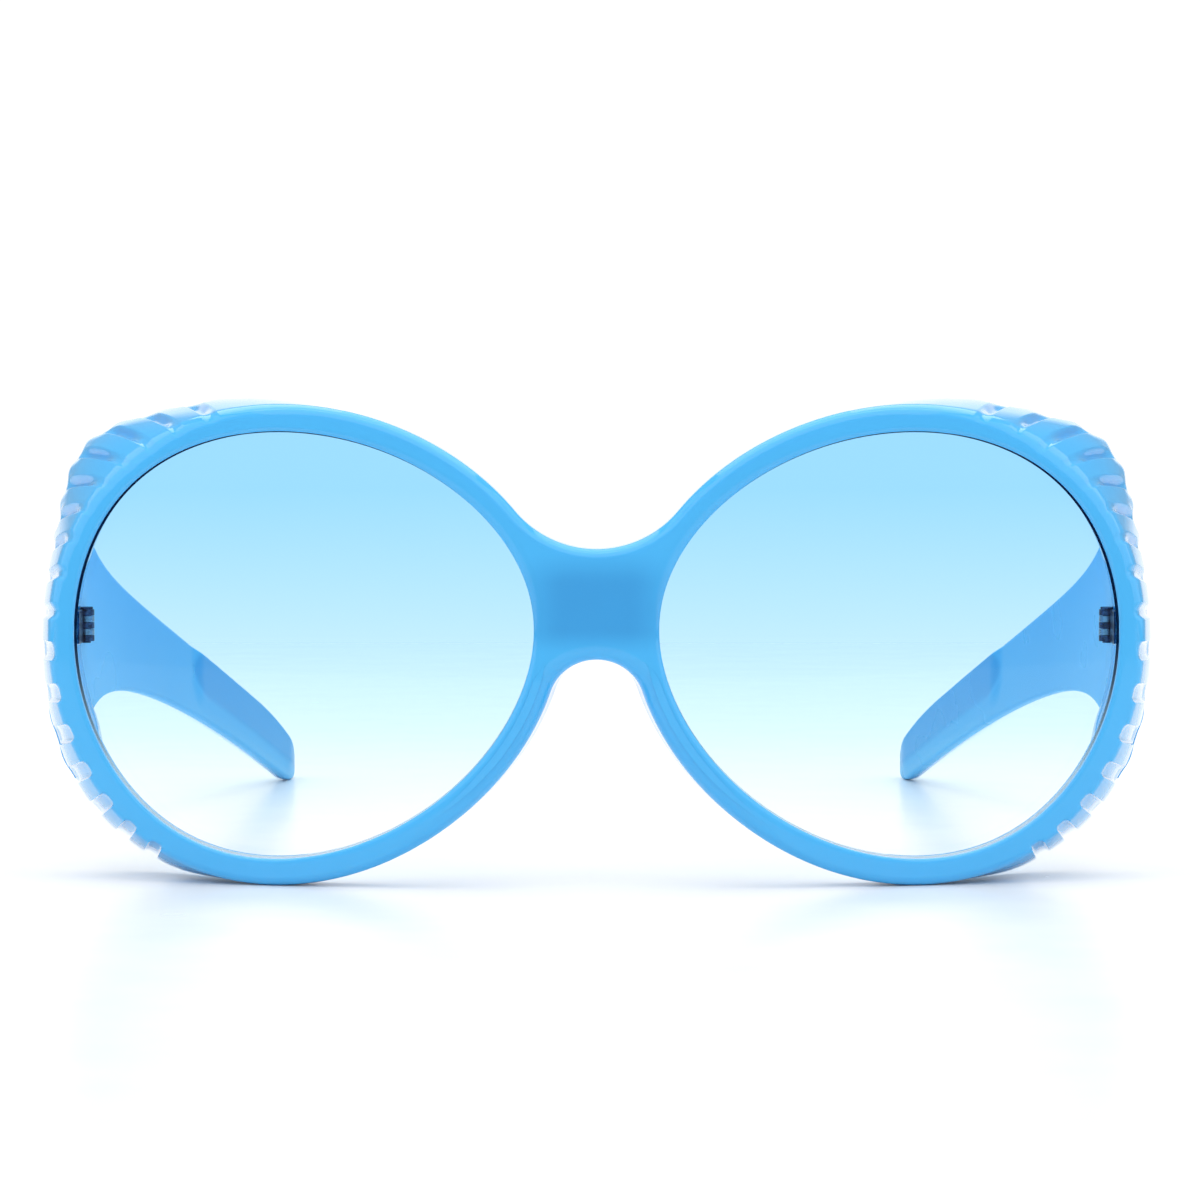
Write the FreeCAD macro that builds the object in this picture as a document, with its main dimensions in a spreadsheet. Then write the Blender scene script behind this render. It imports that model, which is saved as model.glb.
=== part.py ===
"""Oversized sunglasses: a moulded front, two lenses and two fluted fan temples on screw hinges.

X runs to the wearer's left, Y from the bridge to the temple tips and Z up from the surface that
the rims and the temple tips stand on. The origin is under the middle of the overall box.
"""

import FreeCAD
import Part
import math
import os
from collections import namedtuple

import Sketcher
from FreeCAD import Placement, Rotation, Vector

# Driving dimensions in millimetres, and angles in degrees. An outline angle is the direction that
# the outline faces: 0 towards the temple, 90 up, 180 towards the nose.
SIZES = {
    # Lens outline and its wrap
    "lens_width": 63.0,
    "lens_height": 58.0,
    "lens_distance": 16.8,
    "lens_lean": -0.3,
    "lens_egg": 1.0,
    "lens_egg_angle": 152.8,
    "wrap_radius": 260.0,
    "lens_thickness": 2.0,
    "lens_setback": 1.3,
    "lens_bevel": 0.5,
    "lens_clearance": 0.08,
    # Rim, bridge and nose pads
    "rim_width": 3.7,
    "rim_thickness": 4.6,
    "rim_front_radius": 1.3,
    "arch_extra_radius": 1.3,
    "rim_edge": 0.5,
    "rim_lip": 0.6,
    "bridge_rise": 13.3,
    "bridge_height": 14.9,
    "nose_pad_depth": 5.0,
    "nose_pad_flare": 1.2,
    # Fluted flank
    "flank_depth": 22.5,
    "flank_wall_inset": 0.7,
    "flank_wall_flare": 3.0,
    "flank_edge": 0.4,
    "flank_flare": 2.0,
    "flank_top_flare": 3.7,
    "flank_top_flare_angle": 43.0,
    "flank_low_flare": 1.7,
    "flank_low_flare_angle": -34.0,
    "flute_depth": 0.85,
    "first_flute_angle": 75.0,
    "last_flute_angle": -57.0,
    "flute_lean_angle": 9.0,
    # Temple
    "temple_gap": 0.3,
    "temple_reach": 122.2,
    "temple_edge": 1.2,
    "temple_chamfer": 0.5,
    "temple_inward": 20.7,
    "temple_straight": 6.0,
    "fan_proud": 0.3,
    "fan_margin_angle": 0.6,
    "fan_length": 8.0,
    "arm_taper": 7.0,
    "arm_taper_length": 40.0,
    "arm_half_height": 4.0,
    "arm_crown": 2.4,
    "crown_length": 14.0,
    "flute_fade_length": 28.0,
    "tip_length": 7.0,
    "tip_slope_length": 24.0,
    "tip_pad_height": 0.5,
    "tip_pad_length": 58.0,
    "tip_pad_margin": 1.3,
    "tip_pad_nose": 6.0,
    # Hinge
    "hinge_rise": 1.7,
    "hinge_height": 4.5,
    "knuckle_radius": 1.1,
    "knuckle_gap": 0.1,
    "knuckle_clearance": 0.05,
    "leaf_thickness": 0.9,
    "leaf_length": 5.4,
    "leaf_sink": 0.3,
    "leaf_clearance": 0.03,
    "peg_radius": 0.55,
    "peg_length": 1.6,
    "peg_reach": 3.6,
    "peg_spread": 1.3,
    "screw_radius": 0.6,
    "screw_clearance": 0.04,
    "screw_head_radius": 0.9,
    "screw_head_height": 0.3,
    "screw_slot_width": 0.3,
    "screw_slot_depth": 0.2,
    "screw_tail": 0.2,
    "cut_overrun": 2.0,
}

FLUTES = 16
KNUCKLES = 5
MIDDLE_RUN = 2
UPPER_FLUTE_SHARES = (-0.2, -0.03, 0.04, 0.27)
LOWER_FLUTE_SHARES = (-0.42, -0.06, 0.05, 0.2)
TOP_BITE_SHARE = 0.5
FACE_BITE_SHARE = 0.8
FLANK_SWELL_SHARES = (0.6, 1.0)
NOSE_SWELL_SHARE = 0.35
LENS_STEPS = 48
CURVE_STEPS = 12
BRIDGE_STEPS = 6
NASAL_SPLIT_SHARES = (0.32, 0.64)
BRIDGE_NOSE_SHARE = 0.35
TEMPLE_SHARES = (0.0, 0.02, 0.045, 0.08, 0.125, 0.18, 0.27, 0.4, 0.58, 0.77, 0.86)
TIP_ANGLES = (0, 25, 48, 66, 78)
PAD_NOSE_SHARES = (0.03, 0.12, 0.3, 0.6, 1.0)
FLOOR_STEPS = 400
HALVINGS = 60
INWARD_POWER = 1.3
DROP_POWER = 1.42
CROWN_POWER = 2.4

# Outline angles between which the flank, its flare, its fuller swell, the swell as such, its wall's
# flare, the flutes' bite into the front edge, the fan's proud edge and the nose pads fade in, how
# wide the flare's two peaks are, the span of the flutes' lean, and where the bridge arcs, the fan's
# corners and a flute's front end are sought.
FLANK_TOP_ANGLES = (106, 60)
FLANK_LOW_ANGLES = (-90, -46)
FLARE_TOP_ANGLES = (100, 66)
FLARE_LOW_ANGLES = (-86, -60)
SWELL_ANGLES = (-20, -54)
NOSE_SWELL_ANGLES = (-104, -88)
TOP_FLARE_SPREAD = 18
LOW_FLARE_SPREAD = 24
WALL_FLARE_ANGLES = (-20, -42)
BITE_ANGLES = (32, -12)
PROUD_ANGLES = (-2, -24)
LEAN_SPAN = 110
LEAN_SEARCH = 15
PAD_LOW_ANGLES = (-108, -138)
PAD_TOP_ANGLES = (-206, -178)
BRIDGE_TOP_ANGLES = (92, 160)
BRIDGE_ARCH_ANGLES = (182, 262)
FAN_ANGLES = (-75, 0)

doc = FreeCAD.newDocument("sunglasses")
sheet = doc.addObject("Spreadsheet::Sheet", "Sizes")
for row, (alias, number) in enumerate(SIZES.items(), start=1):
    sheet.set(f"A{row}", alias)
    sheet.set(f"B{row}", str(number))
    sheet.setAlias(f"B{row}", alias)
doc.recompute()


def size(alias):
    """Return one driving dimension from the sheet."""
    return float(sheet.get(alias))


def blend(start, end, share):
    """Return the value that lies at a share of the way from start to end."""
    return start + (end - start) * share


def even_shares(count):
    """Return count parameters from 0 to 1 in even steps."""
    return [step / (count - 1) for step in range(count)]


def fade(value, start, end):
    """Rise smoothly from 0 at start to 1 at end."""
    share = min(max((value - start) / (end - start), 0.0), 1.0)
    return share * share * (3 - 2 * share)


def bell(value, centre, width):
    """Return a smooth bump of height 1."""
    return math.exp(-(((value - centre) / width) ** 2))


def bisect(function, low, high):
    """Return where a function that rises from low to high crosses zero."""
    for _ in range(HALVINGS):
        middle = (low + high) / 2
        if function(middle) > 0:
            high = middle
        else:
            low = middle
    return (low + high) / 2


# Places that several pieces share
OVERALL_DEPTH = size("flank_depth") + size("temple_gap") + size("temple_reach")
FRONT_Y = -OVERALL_DEPTH / 2
PARTING_Y = FRONT_Y + size("flank_depth")
TEMPLE_Y = PARTING_Y + size("temple_gap")
EGG_TURN = math.radians(size("lens_egg_angle"))
LENS_X = (size("lens_distance") + size("lens_width")) / 2 - size("lens_egg") * math.cos(EGG_TURN)
LENS_MIDDLE_Z = size("rim_width") + size("lens_height") / 2
LENS_Z = LENS_MIDDLE_Z - size("lens_egg") * math.cos(1.5 * math.pi - EGG_TURN)
BRIDGE_TOP_Z = LENS_MIDDLE_Z + size("bridge_rise")
BRIDGE_ARCH_Z = BRIDGE_TOP_Z - size("bridge_height")
FACE_X = size("lens_distance") / 2 + size("lens_width") + size("flank_wall_inset")

# The same places for expressions
DEPTH_RULE = "(Sizes.flank_depth + Sizes.temple_gap + Sizes.temple_reach)"
FRONT_RULE = f"(-{DEPTH_RULE} / 2)"
AXIS_Y_RULE = f"({FRONT_RULE} + Sizes.flank_depth + Sizes.temple_gap / 2)"
FACE_X_RULE = "Sizes.lens_distance / 2 + Sizes.lens_width + Sizes.flank_wall_inset"
SEAT_X_RULE = f"({FACE_X_RULE} + Sizes.leaf_sink)"
LEAF_X_RULE = "(Sizes.knuckle_radius + Sizes.knuckle_clearance)"
AXIS_X_RULE = f"({SEAT_X_RULE} - {LEAF_X_RULE})"
MIDDLE_Z_RULE = "(Sizes.rim_width + Sizes.lens_height / 2)"
HINGE_Z_RULE = f"({MIDDLE_Z_RULE} + Sizes.hinge_rise)"


def facing(angle):
    """Return the direction that the outline faces at an angle."""
    return math.cos(math.radians(angle)), math.sin(math.radians(angle))


def lens_point(angle, offset):
    """Return the point of the left lens outline, moved outwards by offset, that faces an angle."""
    turn = math.radians(angle)
    width, height = size("lens_width"), size("lens_height")
    lean, egg = size("lens_lean"), size("lens_egg")
    reach = (width + height) / 4 + (width - height) / 4 * math.cos(2 * turn)
    reach += lean * math.sin(2 * turn) + egg * math.cos(3 * turn - EGG_TURN) + offset
    slide = -(width - height) / 2 * math.sin(2 * turn)
    slide += 2 * lean * math.cos(2 * turn) - 3 * egg * math.sin(3 * turn - EGG_TURN)
    across, up = facing(angle)
    return LENS_X + reach * across - slide * up, LENS_Z + reach * up + slide * across


def wrap(x, z):
    """Return how far the wrapped front lies behind the bridge."""
    radius = size("wrap_radius")
    return radius - math.sqrt(radius**2 - x**2 - (z - LENS_MIDDLE_Z) ** 2)


def flank_reach(angle):
    """Return 1 where the flank runs back to the temple and 0 where the rim is plain."""
    return fade(angle, *FLANK_TOP_ANGLES) * fade(angle, *FLANK_LOW_ANGLES)


def flank_flare(angle):
    """Return how far the flank's rear edge stands out beyond the rim."""
    flare = size("flank_flare")
    flare += size("flank_top_flare") * bell(angle, size("flank_top_flare_angle"), TOP_FLARE_SPREAD)
    flare += size("flank_low_flare") * bell(angle, size("flank_low_flare_angle"), LOW_FLARE_SPREAD)
    return flare * fade(angle, *FLARE_TOP_ANGLES) * fade(angle, *FLARE_LOW_ANGLES)


def flute_pitch():
    """Return the angle between two flutes."""
    return (size("first_flute_angle") - size("last_flute_angle")) / (FLUTES - 1)


def flute_form(centre):
    """Return where a flute begins, where it is deepest and where it ends, outwards from its centre."""
    return UPPER_FLUTE_SHARES if centre > 0 else LOWER_FLUTE_SHARES


def flute_angles():
    """Return the angles that catch the flutes' form, from the uppermost to the lowest."""
    angles = []
    for number in range(FLUTES):
        centre = size("first_flute_angle") - number * flute_pitch()
        outwards = math.copysign(flute_pitch(), centre)
        start, low, high, end = flute_form(centre)
        shares = [start, (start + low) / 2, low, high, (high + end) / 2, end, (end + 1 + start) / 2]
        angles += [centre + outwards * share for share in shares]
    return sorted(angles, reverse=True)


def flute(angle):
    """Return the depth of the flute at an angle as a share."""
    number = min(max(round((size("first_flute_angle") - angle) / flute_pitch()), 0), FLUTES - 1)
    centre = size("first_flute_angle") - number * flute_pitch()
    outwards = (angle - centre) / math.copysign(flute_pitch(), centre)
    start, low, high, end = flute_form(centre)
    return fade(outwards, start, low) * fade(outwards, end, high)


def rear_angle(angle):
    """Return the outline angle at which a flute that begins at an angle reaches the rear edge."""
    lean = size("flute_lean_angle") * math.sin(math.pi * max(angle, 0.0) / LEAN_SPAN)
    return angle - lean * flank_reach(angle)


def front_angle(angle):
    """Return the outline angle at which a flute that reaches the rear edge at an angle begins."""
    return bisect(lambda guess: rear_angle(guess) - angle, angle - LEAN_SEARCH, angle + LEAN_SEARCH)


def front_bite(angle):
    """Return the share of the flute's depth that is left at the front's edge."""
    return blend(TOP_BITE_SHARE, 1.0, fade(angle, *BITE_ANGLES))


def flank_swell(angle):
    """Return the share of the flare that the surface heads for halfway to the rear."""
    flank = blend(*FLANK_SWELL_SHARES, fade(angle, *SWELL_ANGLES))
    return blend(NOSE_SWELL_SHARE, flank, fade(angle, *NOSE_SWELL_ANGLES))


def wall_offset(angle):
    """Return how far the flank's inner wall lies outside the lens opening at the rear."""
    flare = size("flank_wall_flare") * fade(angle, *WALL_FLARE_ANGLES) * flank_reach(angle)
    return size("flank_wall_inset") + flare


def nose_pad(angle):
    """Return 1 where the moulded nose pad is deepest and 0 away from it."""
    return fade(angle, *PAD_LOW_ANGLES) * fade(angle, *PAD_TOP_ANGLES)


def fan_outline(angle, depth_of_flutes):
    """Return the fan's outline at a rear angle, with flutes of the given depth."""
    offset = size("rim_width") + flank_flare(angle) + size("fan_proud") * fade(angle, *PROUD_ANGLES)
    return lens_point(angle, offset - depth_of_flutes * flute(front_angle(angle)))


def top_arc(angle):
    """Return the radius and centre height of the bridge's top arc that leaves the rim at an angle."""
    x, z = lens_point(angle, size("rim_width"))
    across, up = facing(angle)
    radius = -x / across
    return radius, z + radius * up


def bridge_angles():
    """Return the outline angles where the bridge's two arcs leave the rim."""
    def top_error(angle):
        radius, centre = top_arc(angle)
        return BRIDGE_TOP_Z - (centre - radius)

    def arch_error(angle):
        radius, centre = top_arc(angle)
        return BRIDGE_ARCH_Z - (centre + radius)

    return bisect(top_error, *BRIDGE_TOP_ANGLES), bisect(arch_error, *BRIDGE_ARCH_ANGLES) - 360


TOP_ANGLE, ARCH_ANGLE = bridge_angles()

# One place around a rim: a point of the outer outline, its outward normal and the lens outline angle
# beside it, all three at the front edge and at the rear edge, and how much flank, nose pad, flare
# and flute it has.
Edge = namedtuple("Edge", "point normal angle")
Place = namedtuple("Place", "front rear reach nose flare flute")

# A run of places, their parameters along it and the ones that smooth rings need
Run = namedtuple("Run", "places shares keep")


def rim_edge(angle):
    """Return the edge of the plain rim that faces an angle."""
    return Edge(lens_point(angle, size("rim_width")), facing(angle), angle)


def rim_place(angle):
    """Return the place on the rim that faces an angle at the front."""
    rear = rear_angle(angle)
    nose = nose_pad(angle)
    flare = flank_flare(rear) + size("nose_pad_flare") * nose
    return Place(rim_edge(angle), rim_edge(rear), flank_reach(rear), nose, flare, flute(angle))


def rim_run():
    """Return the run along the rim, from the bridge's top round to its arch."""
    start = size("first_flute_angle") + flute_pitch()
    end = size("last_flute_angle") - flute_pitch()
    angles = [blend(TOP_ANGLE, start, share) for share in even_shares(BRIDGE_STEPS + 1)]
    fine = range(len(angles), len(angles) + len(flute_angles()))
    angles += flute_angles()
    angles += [blend(end, ARCH_ANGLE, share) for share in even_shares(CURVE_STEPS + 1)]
    one_each = fine[:: len(fine) // FLUTES]
    keep = [step for step in range(len(angles)) if step in one_each or step not in fine]
    shares = [(angle - TOP_ANGLE) / (ARCH_ANGLE - TOP_ANGLE) for angle in angles]
    return Run([rim_place(angle) for angle in angles], shares, keep)


def plain_place(edge, nose, flare):
    """Return a place that has no flank."""
    return Place(edge, edge, 0.0, nose, flare, 0.0)


def arc_places(angle, ends, nose_ends):
    """Return the places along half of a bridge arc, from the rim to the middle."""
    radius, centre = top_arc(angle)
    x, z = lens_point(angle, size("rim_width"))
    start = math.atan2(x, z - centre)
    middle = 0.0 if centre < BRIDGE_ARCH_Z else math.pi
    places = []
    for share in even_shares(CURVE_STEPS + 1):
        turn = blend(start, middle, share)
        normal = (-math.sin(turn), -math.cos(turn))
        point = (-normal[0] * radius, centre - normal[1] * radius)
        nose = blend(*nose_ends, fade(share, 0, 1))
        edge = Edge(point, normal, blend(*ends, share))
        places.append(plain_place(edge, nose, size("nose_pad_flare") * nose))
    return places


def middle_places(ends):
    """Return the places up the middle of the bridge."""
    places = []
    for share in even_shares(BRIDGE_STEPS + 1):
        point = (0.0, blend(BRIDGE_ARCH_Z, BRIDGE_TOP_Z, share))
        edge = Edge(point, (0.0, blend(-1, 1, share)), blend(*ends, share))
        nose = blend(BRIDGE_NOSE_SHARE, 0.0, fade(share, 0, 1))
        flare = size("nose_pad_flare") * BRIDGE_NOSE_SHARE * max(1 - 2 * share, 0.0)
        places.append(plain_place(edge, nose, flare))
    return places


def half_front_runs():
    """Return the four runs round one half of the front, end to end."""
    round_angle = TOP_ANGLE - 360
    splits = [blend(ARCH_ANGLE, round_angle, share) for share in NASAL_SPLIT_SHARES]
    nose_ends = (nose_pad(ARCH_ANGLE), BRIDGE_NOSE_SHARE)
    arch = arc_places(ARCH_ANGLE, (ARCH_ANGLE, splits[0]), nose_ends)
    top = arc_places(TOP_ANGLE, (round_angle, splits[1]), (0.0, 0.0))
    runs = [rim_run()]
    for places in (arch, middle_places(splits), top[::-1]):
        runs.append(Run(places, even_shares(len(places)), range(len(places))))
    return runs


def beside(edge, offset):
    """Return the point that lies an offset outside an edge in the front view."""
    return edge.point[0] + edge.normal[0] * offset, edge.point[1] + edge.normal[1] * offset


def on_front(spot, depth):
    """Return the point that lies a depth behind the wrapped front face."""
    x, z = spot
    return Vector(x, FRONT_Y + wrap(x, z) + depth, z)


def on_rear(place, spot, lift=0.0):
    """Return the point on the rear edge, or in front of it by a lift."""
    x, z = spot
    depth = size("rim_thickness") + size("rim_lip") + size("nose_pad_depth") * place.nose
    plain = FRONT_Y + wrap(x, z) + depth
    return Vector(x, blend(plain, PARTING_Y, place.reach) - lift, z)


def outer_points(place):
    """Return a place's points on the outer rings, from the front face to the rear edge's back."""
    radius = size("rim_front_radius") + size("arch_extra_radius") * place.nose
    rear_edge = size("flank_edge")
    bite = size("flute_depth") * place.flute
    side_bite = bite * front_bite(place.front.angle)
    face_bite = side_bite * front_bite(place.front.angle) * FACE_BITE_SHARE
    rear_offset = place.flare - bite
    side = on_front(beside(place.front, -side_bite), radius)
    brim = on_rear(place, beside(place.rear, rear_offset), rear_edge)
    half_offset = place.flare * flank_swell(place.rear.angle) - bite
    ahead, behind = beside(place.front, half_offset), beside(place.rear, half_offset)
    middle = blend(side, brim, 1 / 2)
    swell = Vector(blend(ahead[0], behind[0], 1 / 2), middle.y, blend(ahead[1], behind[1], 1 / 2))
    corner = side - (swell - side) * (radius / (swell.y - side.y))
    inset = radius - side_bite + face_bite
    face = corner.x - place.front.normal[0] * inset, corner.z - place.front.normal[1] * inset
    return {
        "face": on_front(face, 0.0),
        "corner": on_front((corner.x, corner.z), 0.0),
        "side": side,
        "swell": swell,
        "brim": brim,
        "brim back": on_rear(place, beside(place.rear, rear_offset - rear_edge)),
    }


# One ring of points round the front, with its flutes or without
Ring = namedtuple("Ring", "points is_fluted")


def front_rings(places):
    """Return the strips round a rim's section, each between two rings or swung through three."""
    edge, rear_edge = size("rim_edge"), size("flank_edge")
    thickness, inset = size("rim_thickness"), size("flank_wall_inset")
    groove_front = size("lens_setback") - size("lens_clearance")
    groove_back = size("lens_setback") + size("lens_thickness") + size("lens_clearance")
    groove = size("lens_bevel") + size("lens_clearance")

    def inner(offset, depth):
        spots = [lens_point(place.front.angle, offset) for place in places]
        return Ring([on_front(spot, depth) for spot in spots], False)

    def inner_rear(offset, lift):
        points = []
        for place in places:
            spot = lens_point(place.rear.angle, wall_offset(place.rear.angle) + offset)
            points.append(on_rear(place, spot, lift))
        return Ring(points, False)

    columns = [outer_points(place) for place in places]
    outer = {name: Ring([column[name] for column in columns], True) for name in columns[0]}
    outside = {
        "front round": (outer["face"], outer["corner"], outer["side"]),
        "flank": (outer["side"], outer["swell"], outer["brim"]),
        "brim": (outer["brim"], outer["brim back"]),
    }
    chain = [
        outer["brim back"],
        inner_rear(rear_edge, 0.0),
        inner_rear(0.0, rear_edge),
        inner(inset, thickness),
        inner(0.0, thickness - edge),
        inner(0.0, groove_back),
        inner(groove, groove_back),
        inner(groove, groove_front),
        inner(0.0, groove_front),
        inner(0.0, edge),
        inner(edge, 0.0),
        outer["face"],
    ]
    return outside, list(zip(chain, chain[1:]))


def curve(points, shares):
    """Return a smooth curve through points at given parameters."""
    spline = Part.BSplineCurve()
    spline.interpolate(Points=list(points), Parameters=list(shares))
    return spline


def ring_curves(rings, run):
    """Return the rings' curves on one set of knots: fine ones only where a ring is fluted."""
    sparse = [run.shares[step] for step in run.keep]
    extra = [share for share in run.shares if share not in sparse]
    curves = []
    for ring in rings:
        if ring.is_fluted:
            curves.append(curve(ring.points, run.shares))
            continue
        smooth = curve([ring.points[step] for step in run.keep], sparse)
        if extra and any(each.is_fluted for each in rings):
            smooth.insertKnots(extra, [1] * len(extra))
        curves.append(smooth)
    return curves


def strip(rings, run, is_round=False):
    """Return the face that joins two rings, or swings through three with the middle one as corner."""
    curves = ring_curves(rings, run)
    poles = [list(column) for column in zip(*(each.getPoles() for each in curves))]
    degree = len(rings) - 1
    weights = [1.0, math.sqrt(1 / 2), 1.0] if is_round else [1.0] * len(rings)
    surface = Part.BSplineSurface()
    surface.buildFromPolesMultsKnots(
        poles,
        curves[0].getMultiplicities(),
        [degree + 1, degree + 1],
        curves[0].getKnots(),
        [0.0, 1.0],
        False,
        False,
        curves[0].Degree,
        degree,
        [weights] * len(poles),
    )
    return surface.toShape()


def closed_solid(faces, tolerance=1e-4):
    """Sew faces into one closed solid that faces outwards."""
    skin = Part.Compound(faces)
    skin.sewShape(tolerance)
    solid = Part.Solid(skin.Shells[0])
    if solid.Volume < 0:
        solid.reverse()
    return solid


def mirrored(shape):
    """Return a shape's mirror image on the wearer's other side."""
    return shape.mirror(Vector(), Vector(1, 0, 0))


def front_solid():
    """Return the whole front: the strips of one half and their mirror images."""
    faces = []
    for number, run in enumerate(half_front_runs()):
        outside, chain = front_rings(run.places)
        faces += [strip(rings, run) for rings in chain]
        if number != MIDDLE_RUN:
            faces += [strip(rings, run, name == "front round") for name, rings in outside.items()]
    return closed_solid(faces + [mirrored(face) for face in faces])


def row_curve(row):
    """Return the curve through a row of points of the fan: a straight one if there are only two."""
    if len(row) > 2:
        return curve(row, FAN_SHARES)
    line = Part.BSplineCurve()
    line.buildFromPoles(list(row), False, 1)
    return line


def skin(rows, row_shares):
    """Return the face that runs smoothly through rows of points."""
    across = [row_curve(row) for row in rows]
    along = [curve(column, row_shares) for column in zip(*(each.getPoles() for each in across))]
    surface = Part.BSplineSurface()
    surface.buildFromPolesMultsKnots(
        [each.getPoles() for each in along],
        across[0].getMultiplicities(),
        along[0].getMultiplicities(),
        across[0].getKnots(),
        along[0].getKnots(),
        False,
        False,
        across[0].Degree,
        along[0].Degree,
    )
    return surface.toShape()


def fan_corners():
    """Return the outline angles of the temple's lower and upper front corners."""
    corner = FACE_X + size("temple_edge")
    low = bisect(lambda angle: fan_outline(angle, 0.0)[0] - corner, *FAN_ANGLES)
    high = -bisect(lambda angle: fan_outline(-angle, 0.0)[0] - corner, *FAN_ANGLES)
    return low, high


LOW_FAN_ANGLE, HIGH_FAN_ANGLE = fan_corners()


def fan_angles():
    """Return the rear angles that catch the fan's flutes, from its lower to its upper corner."""
    flutes = [rear_angle(angle) for angle in flute_angles()[::-1]]
    margin = size("fan_margin_angle")
    inside = [angle for angle in flutes if LOW_FAN_ANGLE + margin < angle < HIGH_FAN_ANGLE - margin]
    return [LOW_FAN_ANGLE, *inside, HIGH_FAN_ANGLE]


FAN_SHARES = [(angle - LOW_FAN_ANGLE) / (HIGH_FAN_ANGLE - LOW_FAN_ANGLE) for angle in fan_angles()]
PLAIN_FAN = [fan_outline(angle, 0.0) for angle in fan_angles()]
FLUTED_FAN = [fan_outline(angle, size("flute_depth")) for angle in fan_angles()]
FAN_HALF = (PLAIN_FAN[-1][1] - PLAIN_FAN[0][1]) / 2
FAN_MIDDLE_Z = (PLAIN_FAN[-1][1] + PLAIN_FAN[0][1]) / 2
TIP_SINE = math.sin(math.radians(TIP_ANGLES[-1]))


def tip_round(run, span):
    """Return how much of the temple's section is left where it rounds off over its last span."""
    into_tip = max(run - size("temple_reach") + span, 0.0)
    return math.sqrt(1 - (into_tip / span * TIP_SINE) ** 2)


def temple_runs():
    """Return how far each section of the temple lies behind its front."""
    reach, tip = size("temple_reach"), size("tip_length")
    runs = [reach * share for share in TEMPLE_SHARES]
    return runs + [reach - tip * (1 - math.sin(math.radians(angle)) / TIP_SINE) for angle in TIP_ANGLES]


def arm_half_height(run):
    """Return half the temple's height at a distance behind its front."""
    arm, taper = size("arm_half_height"), size("arm_taper")
    fan = FAN_HALF - arm - taper
    half = arm + taper * math.exp(-run / size("arm_taper_length"))
    half += fan * math.exp(-run / size("fan_length"))
    return half * tip_round(run, size("tip_length"))


def upper_half_height(run):
    """Return the temple's height above its middle line, which comes down early towards the tip."""
    before_tip = min(run, size("temple_reach") - size("tip_length"))
    sloped = arm_half_height(before_tip) * tip_round(run, size("tip_slope_length"))
    return min(arm_half_height(run), sloped)


def temple_drop():
    """Return the drop of the temple's middle line that lets its tip rest on the ground."""
    reach = size("temple_reach")
    runs = [reach * (1 + share) / 2 for share in even_shares(FLOOR_STEPS)]
    return min((FAN_MIDDLE_Z - arm_half_height(run)) / (run / reach) ** DROP_POWER for run in runs)


TEMPLE_DROP = temple_drop()


def middle_line(run):
    """Return the height of the temple's middle line."""
    return FAN_MIDDLE_Z - TEMPLE_DROP * (run / size("temple_reach")) ** DROP_POWER


def inner_face(run):
    """Return where the temple's inner face lies: straight at the hinge, then bent inwards."""
    straight = size("temple_straight")
    bend = max(run - straight, 0.0) / (size("temple_reach") - straight)
    return FACE_X - size("temple_inward") * bend**INWARD_POWER


def outer_face(run):
    """Return the temple's outer face in one section, from its lower to its upper edge."""
    half, upper, edge = arm_half_height(run), upper_half_height(run), size("temple_edge")
    fan_share = math.exp(-run / size("crown_length"))
    flute_share = half / FAN_HALF * bell(run, 0.0, size("flute_fade_length"))
    spots = []
    for (plain_x, plain_z), (fluted_x, fluted_z) in zip(PLAIN_FAN, FLUTED_FAN):
        height = (plain_z - FAN_MIDDLE_Z) / FAN_HALF
        crown = size("arm_crown") * max(1 - abs(height) ** CROWN_POWER, 0.0) ** (1 / CROWN_POWER)
        x = inner_face(run) + edge + blend(crown, plain_x - FACE_X - edge, fan_share)
        z = middle_line(run) + height * (upper if height > 0 else half)
        spots.append((x + (fluted_x - plain_x) * flute_share, z + (fluted_z - plain_z) * flute_share))
    return spots


def temple_section(run):
    """Return the edges of one temple section: the outer face, then the straight inner edges."""
    inner, middle, tip = inner_face(run), middle_line(run), tip_round(run, size("tip_length"))
    top, low = middle + upper_half_height(run), middle - arm_half_height(run)
    chamfer = size("temple_chamfer")
    outside = outer_face(run)
    corners = [
        outside[-1],
        (inner + chamfer, top),
        (inner, top - chamfer * tip),
        (inner, low + chamfer * tip),
        (inner + chamfer, low),
        outside[0],
    ]
    centre = inner + size("temple_edge")
    edges = [outside, *zip(corners, corners[1:])]
    return [[Vector(blend(centre, x, tip), TEMPLE_Y + run, z) for x, z in edge] for edge in edges]


def lofted_solid(sections, runs):
    """Return the solid whose skin runs smoothly through sections of matching edges."""
    shares = [(run - runs[0]) / (runs[-1] - runs[0]) for run in runs]
    faces = [skin(rows, shares) for rows in zip(*sections)]
    for section in (sections[0], sections[-1]):
        rim = [row_curve(edge).toShape() for edge in section]
        faces.append(Part.Face(Part.Wire(rim)))
    return closed_solid(faces)


def temple_solid():
    """Return the left temple: its sections run from the fluted fan to the rounded tip."""
    runs = temple_runs()
    return lofted_solid([temple_section(run) for run in runs], runs)


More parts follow.
